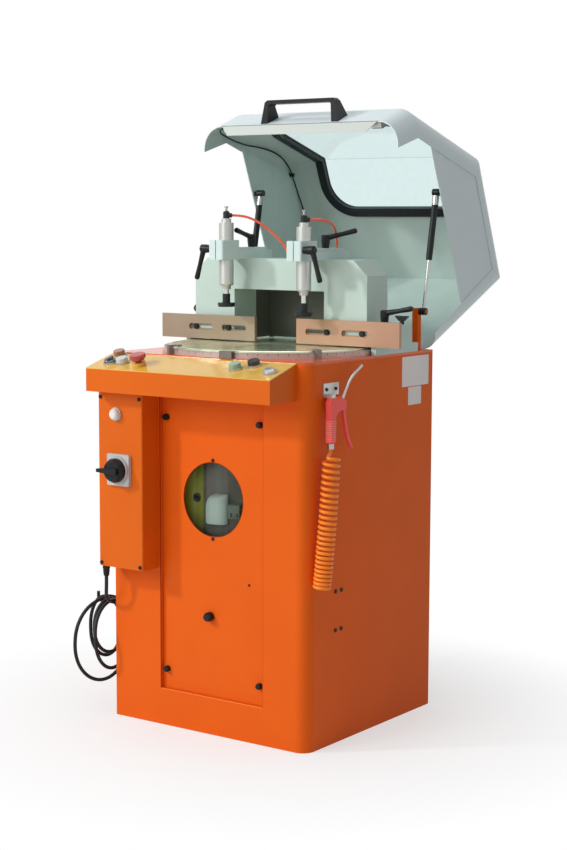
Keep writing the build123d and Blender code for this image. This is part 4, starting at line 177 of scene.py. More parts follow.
def axes(tree, place):
    """The x, y and z values of a place."""
    split = tree.nodes.new("ShaderNodeSeparateXYZ")
    tree.links.new(place, split.inputs["Vector"])
    return split.outputs


def in_box(tree, place, box):
    """1 inside a box given as three spans in millimetres, where None leaves an axis free."""
    mask = None
    for value, span in zip(axes(tree, place), box):
        if span is None:
            continue
        middle = (span[0] + span[1]) / 2 * MM
        half = (span[1] - span[0]) / 2 * MM
        part = calc(tree, "COMPARE", value, middle, half)
        mask = part if mask is None else calc(tree, "MULTIPLY", mask, part)
    return mask


def between(low, high):
    """Box that takes in everything between two heights."""
    return None, None, (low, high)


def around(middle, half):
    """Span about a middle."""
    return middle - half, middle + half


class Finish(NamedTuple):
    """Colour, gloss and relief of one surface."""
    colour: tuple
    rough: float
    metallic: float = 0.0
    mottle: float = 0.05
    mottle_scale: float = 6.0
    grain: float = 0.12
    grain_scale: float = 400.0
    stretch: tuple = (1, 1, 1)
    rough_spread: float = 0.05
    depth: float = 0.0003
    specular: float = 0.3


GRAIN_DETAIL = 2.0


def textures(tree, place, finish):
    """Broad clouds and fine grain of a finish."""
    cloud = spread(tree, noise(tree, place, finish.mottle_scale), 0.0, 1.0)
    return cloud, noise(tree, place, finish.grain_scale, GRAIN_DETAIL, finish.stretch)


def mottled(tree, cloud, finish):
    """Colour of a finish, cloudy."""
    return colour_mix(tree, cloud, shade(finish.colour, 1 - finish.mottle), shade(finish.colour, 1 + finish.mottle))


def uneven(tree, fine, finish):
    """Roughness of a finish, varied with its grain."""
    return spread(tree, fine, finish.rough - finish.rough_spread, finish.rough + finish.rough_spread)


def apply_finish(tree, bsdf, colour, rough, fine, finish):
    """Connects colour and roughness to a shader, with the highlight and the relief of a finish."""
    tree.links.new(colour, bsdf.inputs["Base Color"])
    tree.links.new(rough, bsdf.inputs["Roughness"])
    bsdf.inputs["Specular IOR Level"].default_value = finish.specular
    bump(tree, bsdf, fine, finish.grain, finish.depth)


def surface(name, base, patches=()):
    """Material from a finish; inside boxes it takes the colour, roughness and metal of other finishes."""
    material, tree, bsdf, place = new_shader(name)
    cloud, fine = textures(tree, place, base)
    colour = mottled(tree, cloud, base)
    rough = uneven(tree, fine, base)
    metallic = base.metallic
    for box, patch in patches:
        mask = in_box(tree, place, box)
        colour = colour_mix(tree, mask, colour, mottled(tree, cloud, patch))
        rough = number_mix(tree, mask, rough, uneven(tree, fine, patch))
        metallic = number_mix(tree, mask, metallic, patch.metallic)
    feed(tree, bsdf.inputs["Metallic"], metallic)
    apply_finish(tree, bsdf, colour, rough, fine, base)
    return material


# Finishes. Those that only fill patches leave out relief and highlight, which a patch takes from its base.

ORANGE = Finish((0.79, 0.120, 0.006), 0.42, mottle=0.03, grain=0.08, grain_scale=260.0, specular=0.12)
BOX_ORANGE = Finish((0.70, 0.126, 0.006), 0.40, mottle=0.03, grain=0.08, grain_scale=260.0, specular=0.15)
GLOSSY_ORANGE = Finish((0.74, 0.10, 0.006), 0.17, mottle=0.03, grain=0.05, grain_scale=260.0, specular=0.5)
# Shaded, faintly shaded and lit copies of the orange paint, for painted shade and painted highlight on cut edges
SHADED_ORANGE = Finish((0.30, 0.036, 0.003), 0.5)
FAINT_SHADED_ORANGE = Finish((0.58, 0.080, 0.005), 0.5)
LIT_ORANGE = Finish((0.94, 0.27, 0.060), 0.4)
YELLOW = Finish((0.76, 0.44, 0.055), 0.17, grain=0.05, specular=0.7)
PALE = Finish((0.69, 0.785, 0.81), 0.42, mottle=0.02, grain=0.08, grain_scale=260.0, specular=0.25)
# Painted shade: darker copy of the pale paint for the faces inside the hood
PALE_SHADED_INSIDE = Finish((0.54, 0.65, 0.61), 0.5)
CASTING = Finish((0.52, 0.64, 0.585), 0.46, grain=0.3, grain_scale=160.0, depth=0.0006, specular=0.25)
# Painted light: paler copy of the casting paint for the clamp brackets, whose faces get less light
LIT_BRACKET = CASTING._replace(colour=(0.64, 0.78, 0.76), mottle=0.04)
DARK = Finish((0.125, 0.127, 0.104), 0.5, mottle=0.2, grain=0.2)
STEEL = Finish((0.52, 0.52, 0.51), 0.32, metallic=1.0, grain=0.2, stretch=(1, 1, 30))
# Fences: one finish with a different painted reflection on each side, the right one pinker with painted orange
# reflection of the cabinet
REFLECTION_TINTED_FENCE_RIGHT = Finish((0.46, 0.27, 0.175), 0.46, metallic=0.25, mottle=0.06, grain=0.25, stretch=(0.05, 1, 1))
REFLECTION_TINTED_FENCE_LEFT = REFLECTION_TINTED_FENCE_RIGHT._replace(colour=(0.335, 0.255, 0.178))
ALUMINIUM = Finish((0.50, 0.51, 0.48), 0.38, metallic=0.8, mottle=0.04, grain=0.15, stretch=(1, 1, 20))
CHROME = Finish((0.62, 0.62, 0.61), 0.18, metallic=1.0, mottle=0.02, grain=0.04, rough_spread=0.03)
NICKEL = Finish((0.40, 0.40, 0.385), 0.26, metallic=1.0, mottle=0.06, grain=0.1)
CAST_IRON = Finish((0.10, 0.105, 0.11), 0.55, metallic=0.4, mottle=0.15, grain=0.5, grain_scale=200.0)
MOTOR = Finish((0.16, 0.18, 0.20), 0.45, mottle=0.08, grain=0.2)
BLACK = Finish((0.010, 0.012, 0.013), 0.36, mottle=0.2, grain=0.4, grain_scale=700.0, specular=0.2)
BLACK_STEEL = Finish((0.016, 0.016, 0.017), 0.40, metallic=0.4, mottle=0.2, grain=0.2)
DARK_STEEL = Finish((0.20, 0.18, 0.16), 0.36, metallic=0.7, mottle=0.15)
RUBBER = Finish((0.008, 0.012, 0.015), 0.36, mottle=0.2, grain=0.3, specular=0.35)
SHEATH = Finish((0.012, 0.012, 0.013), 0.48, mottle=0.2, grain=0.2)
HOSE = Finish((1.0, 0.245, 0.016), 0.28, grain=0.05)
TUBE = Finish((0.90, 0.14, 0.065), 0.30, grain=0.05)
GUN = Finish((1.0, 0.100, 0.085), 0.36, mottle=0.06, grain=0.2)
# Painted highlight: paler copy of the gun plastic for the crests of the grip's ribs
GUN_RIB_HIGHLIGHT = Finish((1.0, 0.29, 0.25), 0.26, mottle=0.06, grain=0.1)
SELECTOR = Finish((0.17, 0.19, 0.23), 0.22, metallic=0.8, mottle=0.1, grain=0.1)
GREY_PLASTIC = Finish((0.50, 0.51, 0.50), 0.42, mottle=0.06)
LENS = Finish((0.76, 0.77, 0.72), 0.30, mottle=0.04)
BARE_PLATE = Finish((0.66, 0.62, 0.60), 0.38, metallic=0.2, mottle=0.06, grain=0.15)
BARE_LABEL = Finish((0.80, 0.76, 0.74), 0.45, mottle=0.04, grain=0.05)
VALVE = Finish((0.085, 0.105, 0.078), 0.45, mottle=0.15, grain=0.15)
PALE_COVER = Finish((0.34, 0.40, 0.36), 0.4, grain=0.1)
CAP_WHITE = Finish((0.56, 0.59, 0.58), 0.14, specular=0.8)
CAP_TAN = Finish((0.38, 0.17, 0.10), 0.2, specular=0.5)
CAP_GREEN = Finish((0.27, 0.43, 0.33), 0.14, specular=0.8)
CAP_BLACK = Finish((0.012, 0.015, 0.030), 0.14, specular=0.8)
STOP_RED = Finish((0.46, 0.030, 0.026), 0.16, specular=0.7)


# Window in the access panels, in millimetres: its middle, its radius and half the width of the ring of painted shade
# on its cut edge

WINDOW_X, WINDOW_Z = 9.5, 564.0
WINDOW_RADIUS = 87.5
WINDOW_SHADE_HALF_WIDTH = 1.6


def panel_paint():
    """Paint of the access panels, with a ring of painted shade on the edge of the window; its ring also shows on the
    rear panel behind.
    """
    material, tree, bsdf, place = new_shader("panel_paint")
    x, _, z = axes(tree, place)
    across = calc(tree, "SUBTRACT", x, WINDOW_X * MM)
    up = calc(tree, "SUBTRACT", z, WINDOW_Z * MM)
    edge = calc(tree, "COMPARE", reach(tree, across, up), WINDOW_RADIUS * MM, WINDOW_SHADE_HALF_WIDTH * MM)
    cloud, fine = textures(tree, place, ORANGE)
    colour = colour_mix(tree, edge, mottled(tree, cloud, ORANGE), SHADED_ORANGE.colour)
    apply_finish(tree, bsdf, colour, uneven(tree, fine, ORANGE), fine, ORANGE)
    return material


# Hood: a point inside it, its front strip with the painted shade line of its crease above, in millimetres, and the
# streaks in the painted shade inside it

HOOD_MIDDLE = (0, 330, 1190)
STRIP_X = (-236, 236)
FRONT_STRIP = (STRIP_X, (70, 90.6), (1420, 1453))
# The crease's dark colour is a painted shade line
CREASE_SHADE_BOX = (STRIP_X, (89.0, 91.6), (1450.6, 1454))
STRIP_COLOUR, CREASE_SHADE_COLOUR = (0.56, 0.60, 0.565), (0.20, 0.22, 0.21)
STREAK_SCALE = 12.0
STREAK_DETAIL = 5.0
STREAK_STRETCH = (1, 1, 0.25)


def inside_mask(tree, place, centre):
    """1 on faces that look towards a centre in millimetres."""
    normal = tree.nodes.new("ShaderNodeTexCoord").outputs["Normal"]
    towards = tree.nodes.new("ShaderNodeVectorMath")
    towards.operation = "SUBTRACT"
    towards.inputs[0].default_value = tuple(value * MM for value in centre)
    tree.links.new(place, towards.inputs[1])
    product = tree.nodes.new("ShaderNodeVectorMath")
    product.operation = "DOT_PRODUCT"
    tree.links.new(normal, product.inputs[0])
    tree.links.new(towards.outputs["Vector"], product.inputs[1])
    return calc(tree, "GREATER_THAN", product.outputs["Value"], 0.0)


def hood_paint():
    """Pale paint outside the hood, painted shade with faint streaks inside it, a front strip of another colour and a
    painted shade line along its crease.
    """
    material, tree, bsdf, place = new_shader("hood_paint")
    cloud, fine = textures(tree, place, PALE)
    streaks = spread(tree, noise(tree, place, STREAK_SCALE, STREAK_DETAIL, STREAK_STRETCH), 0.0, 1.0)
    inside = inside_mask(tree, place, HOOD_MIDDLE)
    colour = colour_mix(tree, inside, mottled(tree, cloud, PALE), mottled(tree, streaks, PALE_SHADED_INSIDE))
    for box, tint in ((FRONT_STRIP, STRIP_COLOUR), (CREASE_SHADE_BOX, CREASE_SHADE_COLOUR)):
        colour = colour_mix(tree, in_box(tree, place, box), colour, tint)
    rough = number_mix(tree, inside, uneven(tree, fine, PALE), uneven(tree, fine, PALE_SHADED_INSIDE))
    apply_finish(tree, bsdf, colour, rough, fine, PALE)
    return material


# Clear sheets: colours of the two panes, scuffs and optical values

GLAZING_TINT = (0.72, 0.86, 0.85)
WINDOW_TINT = (0.90, 0.94, 0.92)
SCUFF_SCALE = 60.0
SCUFF_DETAIL = 4.0
SCUFF_SHADE = 0.97
SCUFF_ROUGH = 0.04
SHEET_IOR = 1.08
SHEET_SPECULAR = 0.2


def clear_sheet(name, tint):
    """Clear plastic with faint scuffs."""
    material, tree, bsdf, place = new_shader(name)
    scuff = noise(tree, place, SCUFF_SCALE, SCUFF_DETAIL)
    colour = colour_mix(tree, spread(tree, scuff, 0.0, 1.0), shade(tint, SCUFF_SHADE), tint)
    tree.links.new(colour, bsdf.inputs["Base Color"])
    tree.links.new(spread(tree, scuff, 0.0, SCUFF_ROUGH), bsdf.inputs["Roughness"])
    bsdf.inputs["Transmission Weight"].default_value = 1.0
    bsdf.inputs["IOR"].default_value = SHEET_IOR
    bsdf.inputs["Specular IOR Level"].default_value = SHEET_SPECULAR
    return material


# Machined table and ring

class Machined(NamedTuple):
    """Machined face, with the scale of its worn patches and the shades and roughness that they run between."""
    colour: tuple
    metallic: float
    wear_scale: float
    shades: tuple
    roughness: tuple


# The table's greenish colour is partly painted reflection of the pale green gantry
REFLECTION_TINTED_TABLE = Machined((0.76, 0.84, 0.61), 0.75, 9.0, (0.84, 1.12), (0.14, 0.28))
RING = Machined((0.53, 0.42, 0.385), 0.4, 14.0, (0.88, 1.12), (0.30, 0.44))
WEAR_DETAIL = 4.0
MACHINED_DEPTH = 0.0002
TOOL_MARK_RELIEF = 0.15
RING_RELIEF = 0.05

# Rings on the table, in radians per metre of radius, and the stain in the coarse ones
FINE_RINGS, COARSE_RINGS = 1400.0, 260.0
STAIN = (0.22, 0.16, 0.10)
STAIN_SHARE = 0.16

# Scale on the ring: where in each step its mark lies, and half the width of a mark, as shares of one and of five
# degrees; then, in millimetres, the lowest height of the ring's top, the middle radius and half length of short and
# long marks there, the least radius of its outer face and how far down short and long marks reach on it
MARK_AT = 0.5
MARK_WIDTH, FIFTH_MARK_WIDTH = 0.10, 0.03
MARK_COLOUR = (0.06, 0.045, 0.04)
RING_TOP = 912.6
SHORT_MARK, LONG_MARK = (268.2, 2.2), (266.5, 4.0)
RING_OUTSIDE = 270.5
SHORT_MARK_FOOT, LONG_MARK_FOOT = 910.0, 906.5


def worn_metal(tree, bsdf, place, machined):
    """Sets the metal and the patchy roughness of a machined face, and returns its patches and their colour."""
    worn = spread(tree, noise(tree, place, machined.wear_scale, WEAR_DETAIL), 0.0, 1.0)
    tree.links.new(spread(tree, worn, *machined.roughness, 0.0, 1.0), bsdf.inputs["Roughness"])
    bsdf.inputs["Metallic"].default_value = machined.metallic
    dark, light = (shade(machined.colour, factor) for factor in machined.shades)
    return worn, colour_mix(tree, worn, dark, light)


def ringed_table():
    """Machined table top: worn patches, concentric tool marks and faint brown rings."""
    material, tree, bsdf, place = new_shader("table_top")
    x, y, _ = axes(tree, place)
    radius = reach(tree, x, y)
    marks, rings = (calc(tree, "SINE", calc(tree, "MULTIPLY", radius, rate)) for rate in (FINE_RINGS, COARSE_RINGS))
    _, colour = worn_metal(tree, bsdf, place, REFLECTION_TINTED_TABLE)
    colour = colour_mix(tree, spread(tree, rings, 0.0, STAIN_SHARE, -1.0, 1.0), colour, STAIN)
    tree.links.new(colour, bsdf.inputs["Base Color"])
    bump(tree, bsdf, marks, TOOL_MARK_RELIEF, MACHINED_DEPTH)
    return material


def scale_marks(tree, place):
    """1 on the marks of the scale: one at each degree and a longer one at every fifth, on the top and the outside."""
    x, y, z = axes(tree, place)
    radius = reach(tree, x, y)
    degrees = calc(tree, "MULTIPLY", calc(tree, "ARCTAN2", y, x), 180 / math.pi)
    on_top = calc(tree, "GREATER_THAN", z, RING_TOP * MM)
    outside = calc(tree, "GREATER_THAN", radius, RING_OUTSIDE * MM)
    kinds = []
    for step, width, (middle, half), foot in ((1, MARK_WIDTH, SHORT_MARK, SHORT_MARK_FOOT),
                                              (5, FIFTH_MARK_WIDTH, LONG_MARK, LONG_MARK_FOOT)):
        turned = calc(tree, "FRACT", calc(tree, "MULTIPLY", degrees, 1 / step))
        line = calc(tree, "COMPARE", turned, MARK_AT, width)
        above = calc(tree, "MULTIPLY", calc(tree, "COMPARE", radius, middle * MM, half * MM), on_top)
        beside = calc(tree, "MULTIPLY", outside, calc(tree, "GREATER_THAN", z, foot * MM))
        kinds.append(calc(tree, "MULTIPLY", line, calc(tree, "MAXIMUM", above, beside)))
    return calc(tree, "MAXIMUM", *kinds)


def scale_band():
    """Fixed ring with worn patches and a scale."""
    material, tree, bsdf, place = new_shader("scale_band")
    worn, colour = worn_metal(tree, bsdf, place, RING)
    colour = colour_mix(tree, scale_marks(tree, place), colour, MARK_COLOUR)
    tree.links.new(colour, bsdf.inputs["Base Color"])
    bump(tree, bsdf, worn, RING_RELIEF, MACHINED_DEPTH)
    return material


# Boxes round details that share a CAD node but have a finish of their own, in millimetres

CLIP_ANGLES = (-118.0, -33.0, 52.0, 128.0)
CLIP_RADIUS = 268.0
CLIP_REACH = 24.0
CLIP_Z = (899, 930)
LATCH = ((36, 76), (-282, -250), CLIP_Z)


def clip_boxes():
    """Boxes round the table clips and the latch."""
    boxes = [LATCH]
    for angle in CLIP_ANGLES:
        x = CLIP_RADIUS * math.cos(math.radians(angle))
        y = CLIP_RADIUS * math.sin(math.radians(angle))
        boxes.append((around(x, CLIP_REACH), around(y, CLIP_REACH), CLIP_Z))
    return boxes


fastener_patches = [(box, DARK_STEEL) for box in clip_boxes()]

LAMP_X, LAMP_Z = around(-227.5, 20.0), around(757.0, 20.0)
SWITCH_PLATE = (None, (-400, -300), (560, 690))
LAMP_BODY = (LAMP_X, (-400, -329), LAMP_Z)
LAMP_LENS = (LAMP_X, (-400, -335.5), LAMP_Z)
STOP_COLLAR = ((-170, -122), (-360, -310), (860, 900))
bezel_patches = [(SWITCH_PLATE, GREY_PLASTIC), (LAMP_BODY, GREY_PLASTIC), (LAMP_LENS, LENS), (STOP_COLLAR, YELLOW)]

CABLE_BLOCK = ((-292, -270), (440, 545), (1180, 1360))
INTERLOCKS = (None, (80, 140), (1420, 1470))
STRUT_STUD_Y, STRUT_STUD_Z = (290, 320), (1270, 1300)
STRUT_STUD_RIGHT = ((276, 292), STRUT_STUD_Y, STRUT_STUD_Z)
STRUT_STUD_LEFT = ((-292, -276), STRUT_STUD_Y, STRUT_STUD_Z)
fitting_patches = [(CABLE_BLOCK, BLACK), (INTERLOCKS, STEEL), (STRUT_STUD_RIGHT, BLACK_STEEL),
                   (STRUT_STUD_LEFT, BLACK_STEEL)]

GUN_BRACKET = ((285, 312), (-215, -145), (817, 852))
GUN_NOZZLE = ((296, 316), (-165, -70), (806, 890))
GUN_COLLAR = ((296, 316), (-216, -196), (700, 716))
air_patches = [(GUN_BRACKET, ALUMINIUM), (GUN_NOZZLE, NICKEL), (GUN_COLLAR, NICKEL)]

# Painted shade and light on the folded edges round the access opening: a faint painted shade line on the right, a
# dark painted shade line on the left and a painted highlight along the lower one
OPENING_X, OPENING_Z = (-143.0, 162.0), (90.0, 804.0)
FRONT_FACE = (-270.5, -268.5)
EDGE_OUT, EDGE_IN = 1.4, 0.2
opening_edge_shade_and_highlight = [
    (((OPENING_X[1] - EDGE_IN, OPENING_X[1] + EDGE_OUT), FRONT_FACE, OPENING_Z), FAINT_SHADED_ORANGE),
    (((OPENING_X[0] - EDGE_OUT, OPENING_X[0] + EDGE_IN), FRONT_FACE, OPENING_Z), SHADED_ORANGE),
    ((OPENING_X, FRONT_FACE, (OPENING_Z[0] - EDGE_OUT, OPENING_Z[0] + EDGE_IN)), LIT_ORANGE),
]

# Struts and clamps: heights of the struts' metal heads and dark eyes, heights of a clamp's black elbow and metal flow
# screw above the elbow's foot, that foot and the top of the black pad on each side, and a height below both pads
STRUT_HEAD, STRUT_EYE = (1256, 1279), (980, 1003)
ELBOW, FLOW_SCREW = (0.5, 18.0), (18.0, 35.0)
CLAMP_HEIGHTS = {"left": (1220.0, 1037), "right": (1211.0, 1021)}
BELOW_PADS = 900


# Materials of the CAD nodes

box_paint = surface("box_paint", BOX_ORANGE)
sheath = surface("sheath", SHEATH)
hose_plastic = surface("hose_plastic", HOSE)
tube_plastic = surface("tube_plastic", TUBE)

slot_materials = {
    "orange_paint": surface("orange_paint", ORANGE),
    "yellow_plate": surface("yellow_paint", YELLOW),
    "grey_casting": surface("casting_paint", CASTING),
    "dark_sheet": surface("dark_sheet", DARK),
    "steel": surface("steel", STEEL),
    "table_steel": ringed_table(),
    "scale_brass": scale_band(),
    "aluminium": surface("aluminium", ALUMINIUM),
    "chrome": surface("chrome", CHROME),
    "cast_iron": surface("cast_iron", CAST_IRON),
    "motor_paint": surface("motor_paint", MOTOR),
    "black_plastic": surface("black_plastic", BLACK),
    "black_steel": surface("fasteners", BLACK_STEEL, fastener_patches),
    "black_rubber": surface("black_rubber", RUBBER),
    "glazing": clear_sheet("glazing", GLAZING_TINT),
    "cord_black": sheath,
    "hose_orange": hose_plastic,
    "tube_red": tube_plastic,
    "gun_red": surface("gun_plastic", GUN),
    "cap_white": surface("cap_white", CAP_WHITE),
    "cap_tan": surface("cap_tan", CAP_TAN),
    "cap_green": surface("cap_green", CAP_GREEN),
    "cap_black": surface("cap_black", CAP_BLACK),
    "stop_red": surface("stop_red", STOP_RED),
    "fence_tan": surface("fence_right", REFLECTION_TINTED_FENCE_RIGHT),
}

# Nodes that differ from the others in their slot
node_materials = {
    "cabinet_shell": surface("cabinet_paint", ORANGE, opening_edge_shade_and_highlight),
    "access_panels": panel_paint(),
    "electrical_box": box_paint,
    "console_housing": box_paint,
    "hood_shell": hood_paint(),
    "window_pane": clear_sheet("window_pane", WINDOW_TINT),
    "top_plate": surface("top_paint", GLOSSY_ORANGE),
    "clamp_brackets": surface("bracket_paint", LIT_BRACKET),
    "selector_knob": surface("selector_metal", SELECTOR),
    "fence_left": surface("fence_left", REFLECTION_TINTED_FENCE_LEFT),
    "control_bezels": surface("control_bezels", ALUMINIUM, bezel_patches),
    "hood_fittings": surface("hood_fittings", PALE, fitting_patches),
    "air_fittings": surface("air_fittings", STEEL, air_patches),
}
for side, (elbow_foot, pad_top) in CLAMP_HEIGHTS.items():
    elbow, flow_screw = (between(elbow_foot + low, elbow_foot + high) for low, high in (ELBOW, FLOW_SCREW))
    node_materials |= {
        f"strut_tube_{side}": surface(f"strut_tube_{side}", BLACK, [(between(*STRUT_HEAD), NICKEL)]),
        f"strut_rod_{side}": surface(f"strut_{side}", NICKEL, [(between(*STRUT_EYE), BLACK_STEEL)]),
        f"clamp_cylinder_{side}": surface(f"cylinder_{side}", ALUMINIUM, [(elbow, BLACK), (flow_screw, NICKEL)]),
        f"clamp_rod_{side}": surface(f"rod_{side}", CHROME, [(between(BELOW_PADS, pad_top), BLACK)]),
    }

for entry in frame["record"]["subparts"]:
    material = node_materials.get(entry["node"]) or slot_materials[entry["material_slot"]]
    node_mesh = nodes[entry["node"]].data
    node_mesh.materials.clear()
    node_mesh.materials.append(material)


# Shapes that only the scene has, all fixed to the cabinet and in millimetres. The cabinet's side walls stand at its
# half width, and the guard's face is the plane behind the window.

HALF_WIDTH = 286.0
GUARD_FACE = -229.5


def loft(shape, rings):
    """Closed skin through rings of points in millimetres."""
    loops = [[shape.verts.new(Vector(point) * MM) for point in ring] for ring in rings]
    for low, high in zip(loops, loops[1:]):
        for index in range(len(low)):
            follow = (index + 1) % len(low)
            shape.faces.new((low[index], low[follow], high[follow], high[index]))
    shape.faces.new(list(reversed(loops[0])))
    shape.faces.new(loops[-1])


def cabinet_piece(name, shape, material, smooth=False):
    """Object from a mesh under construction, fixed to the cabinet."""
    bmesh.ops.recalc_face_normals(shape, faces=shape.faces)
    mesh = bpy.data.meshes.new(name)
    shape.to_mesh(mesh)
    shape.free()
    for polygon in mesh.polygons:
        polygon.use_smooth = smooth
    mesh.materials.append(material)
    piece = add_object(name, mesh)
    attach(piece, "cabinet")


def rounded_outline(width, height, radius, steps=5):
    """Points of a rectangle with rounded corners, about its middle."""
    points = []
    for quarter, (across, up) in enumerate(((1, 1), (-1, 1), (-1, -1), (1, -1))):
        for step in range(steps):
            angle = math.radians(90 * (quarter + step / (steps - 1)))
            points.append((across * (width / 2 - radius) + radius * math.cos(angle),
                           up * (height / 2 - radius) + radius * math.sin(angle)))
    return points


def on_wall(middle):
    """Places points about a middle on the right wall, by how far they stand out of it."""
    return lambda across, up, out: (HALF_WIDTH + out, middle[0] + across, middle[1] + up)


def on_guard(middle):
    """Places points about a middle on the face of the guard, by how far they stand out of it."""
    return lambda across, up, out: (middle[0] + across, GUARD_FACE - out, middle[1] + up)


def plate_rings(place, size, corner, levels):
    """Rings of a plate with rounded corners, at levels that each say how far they stand out and their inset."""
    rings = []
    for out, inset in levels:
        outline = rounded_outline(size[0] - 2 * inset, size[1] - 2 * inset, corner)
        rings.append([place(across, up, out) for across, up in outline])
    return rings


def disc_rings(place, count, levels):
    """Rings of a round boss, at levels that each say how far they stand out and their radius."""
    angles = [2 * math.pi * step / count for step in range(count)]
    return [[place(radius * math.cos(angle), radius * math.sin(angle), out) for angle in angles]
            for out, radius in levels]


# Bare plates on the right wall: share of the thickness below the bevel, the bevel's width, and the rivets' distance
# from the edge and dome, as heights and radii, in rivet radii

PLATE_UPRIGHT = 0.6
PLATE_BEVEL = 0.4
RIVET_INSET = 3
RIVET_DOME = ((0.0, 1.0), (0.3, 0.85), (0.5, 0.4))
RIVET_POINTS = 12


def wall_plate(name, middle, size, thickness, corner, rivet, finish):
    """Bare plate on the right wall with bevelled edges and a rivet at each corner."""
    shape = bmesh.new()
    levels = ((0.0, 0.0), (PLATE_UPRIGHT * thickness, 0.0), (thickness, PLATE_BEVEL))
    loft(shape, plate_rings(on_wall(middle), size, corner, levels))
    dome = [(thickness + lift * rivet, share * rivet) for lift, share in RIVET_DOME]
    for across in (-1, 1):
        for up in (-1, 1):
            centre = (middle[0] + across * (size[0] / 2 - RIVET_INSET * rivet),
                      middle[1] + up * (size[1] / 2 - RIVET_INSET * rivet))
            loft(shape, disc_rings(on_wall(centre), RIVET_POINTS, dome))
    cabinet_piece(name, shape, surface(name, finish))


wall_plate("bare_plate", middle=(189.5, 852.5), size=(123, 73), thickness=0.6, corner=3.0, rivet=1.6,
           finish=BARE_PLATE)
wall_plate("bare_label", middle=(187.0, 792.0), size=(60, 44), thickness=0.4, corner=2.0, rivet=0.6,
           finish=BARE_LABEL)


# Guard behind the window. Its bands from left to right: where each starts, in millimetres, and its colour; the very
# dark band from -43 mm is painted shade of a fold

GUARD_BANDS = ((-130, (0.34, 0.30, 0.022)), (-80, (0.34, 0.335, 0.080)), (-66, (0.180, 0.180, 0.016)),
               (-43, (0.045, 0.045, 0.028)), (-34, (0.125, 0.105, 0.092)), (-8, (0.125, 0.130, 0.105)),
               (10, (0.105, 0.090, 0.076)), (31, (0.064, 0.058, 0.044)))
BAND_BLUR = 3.0
UNLIT = (0.0, 0.0, 0.0)

# Smears on the guard: their scale, detail and stretch, and the shades and roughness that they run between
SMEAR = (14.0, 4.0, (3, 1, 0.4))
SMEAR_SHADES = (0.82, 1.0)
SMEAR_ROUGHNESS = (0.42, 0.55)
GUARD_SPECULAR = 0.3
GUARD_RELIEF, GUARD_DEPTH = 0.1, 0.0004

# Painted shade on the foot of the guard: the heights between which it fades, its strongest share and its colour
FOOT_SHADE_Z = (470.0, 520.0)
FOOT_SHADE_SHARE = 0.45
FOOT_SHADE_COLOUR = (0.050, 0.050, 0.040)

# Sheet of the guard: its width, the plane of its flanges, and the heights of its edges and of its raised middle
GUARD_X = (-122.0, 104.0)
GUARD_FLANGE = -257.9
GUARD_Z = (428.0, 702.0)
GUARD_MIDDLE_Z = (446.0, 684.0)
GUARD_SHEET = 1.5

# Plug in the guard: its middle, its profile as heights and radii, and the box that paints it
PLUG_PLACE = (-61.7, 559.8)
PLUG_PROFILE = ((0.0, 11.0), (2.5, 11.0), (3.7, 9.5), (2.9, 6.0))
PLUG_POINTS = 20
PLUG_BOX = (around(PLUG_PLACE[0], 13.0), (GUARD_FACE - 6.5, GUARD_FACE - 0.3), around(PLUG_PLACE[1], 13.0))


def guard_paint():
    """Lime and grey bands that run into each other, one of them painted shade of a fold, with painted shade towards
    the floor and a black plug.
    """
    material, tree, bsdf, place = new_shader("window_guard")
    x, _, z = axes(tree, place)
    smear = spread(tree, noise(tree, place, *SMEAR), *SMEAR_SHADES)
    bands = [(begin, colour_mix(tree, smear, UNLIT, tint)) for begin, tint in GUARD_BANDS]
    colour = bands[0][1]
    for begin, band in bands[1:]:
        share = spread(tree, x, 0.0, 1.0, *(value * MM for value in around(begin, BAND_BLUR)))
        colour = colour_mix(tree, share, colour, band)
    # Painted shade towards the floor
    foot = spread(tree, z, FOOT_SHADE_SHARE, 0.0, FOOT_SHADE_Z[0] * MM, FOOT_SHADE_Z[1] * MM)
    colour = colour_mix(tree, foot, colour, FOOT_SHADE_COLOUR)
    colour = colour_mix(tree, in_box(tree, place, PLUG_BOX), colour, BLACK.colour)
    tree.links.new(colour, bsdf.inputs["Base Color"])
    tree.links.new(spread(tree, smear, *SMEAR_ROUGHNESS, *SMEAR_SHADES), bsdf.inputs["Roughness"])
    bsdf.inputs["Specular IOR Level"].default_value = GUARD_SPECULAR
    bump(tree, bsdf, smear, GUARD_RELIEF, GUARD_DEPTH)
    return material


def guard_line(offset):
    """Section of the guard from its lower edge to its upper one, moved back by an offset."""
    flange, face = GUARD_FLANGE + offset, GUARD_FACE + offset
    low, high = GUARD_MIDDLE_Z[0] - offset, GUARD_MIDDLE_Z[1] + offset
    return [(flange, GUARD_Z[0]), (flange, low), (face, low), (face, high), (flange, high), (flange, GUARD_Z[1])]


def window_guard():
    """Folded sheet on the back of the access panel, behind the window, with a round plug in it."""
    shape = bmesh.new()
    section = guard_line(0.0) + guard_line(GUARD_SHEET)[::-1]
    loft(shape, [[(x, y, z) for y, z in section] for x in GUARD_X])
    loft(shape, disc_rings(on_guard(PLUG_PLACE), PLUG_POINTS, PLUG_PROFILE))
    cabinet_piece("window_guard", shape, guard_paint())


# Cover on the guard: its width, heights and depth, the quarter circle at its upper left, the bevel at its foot, the
# slope at its upper right, and the height over which its top runs back towards the guard, to a least thickness

COVER_X = (-32.0, 33.0)
COVER_LOW, COVER_TOP = 503.0, 575.0
COVER_DEPTH = 22.0
COVER_ROUND = 36.0
COVER_BEVEL_HEIGHT, COVER_BEVEL = 1.5, 1.0
COVER_SLOPE_HEIGHT, COVER_SLOPE = 4.0, 0.6
COVER_CROWN = 8.0
COVER_THINNEST = 0.05
ROUND_STEPS = 12
COVER_STEPS = 16


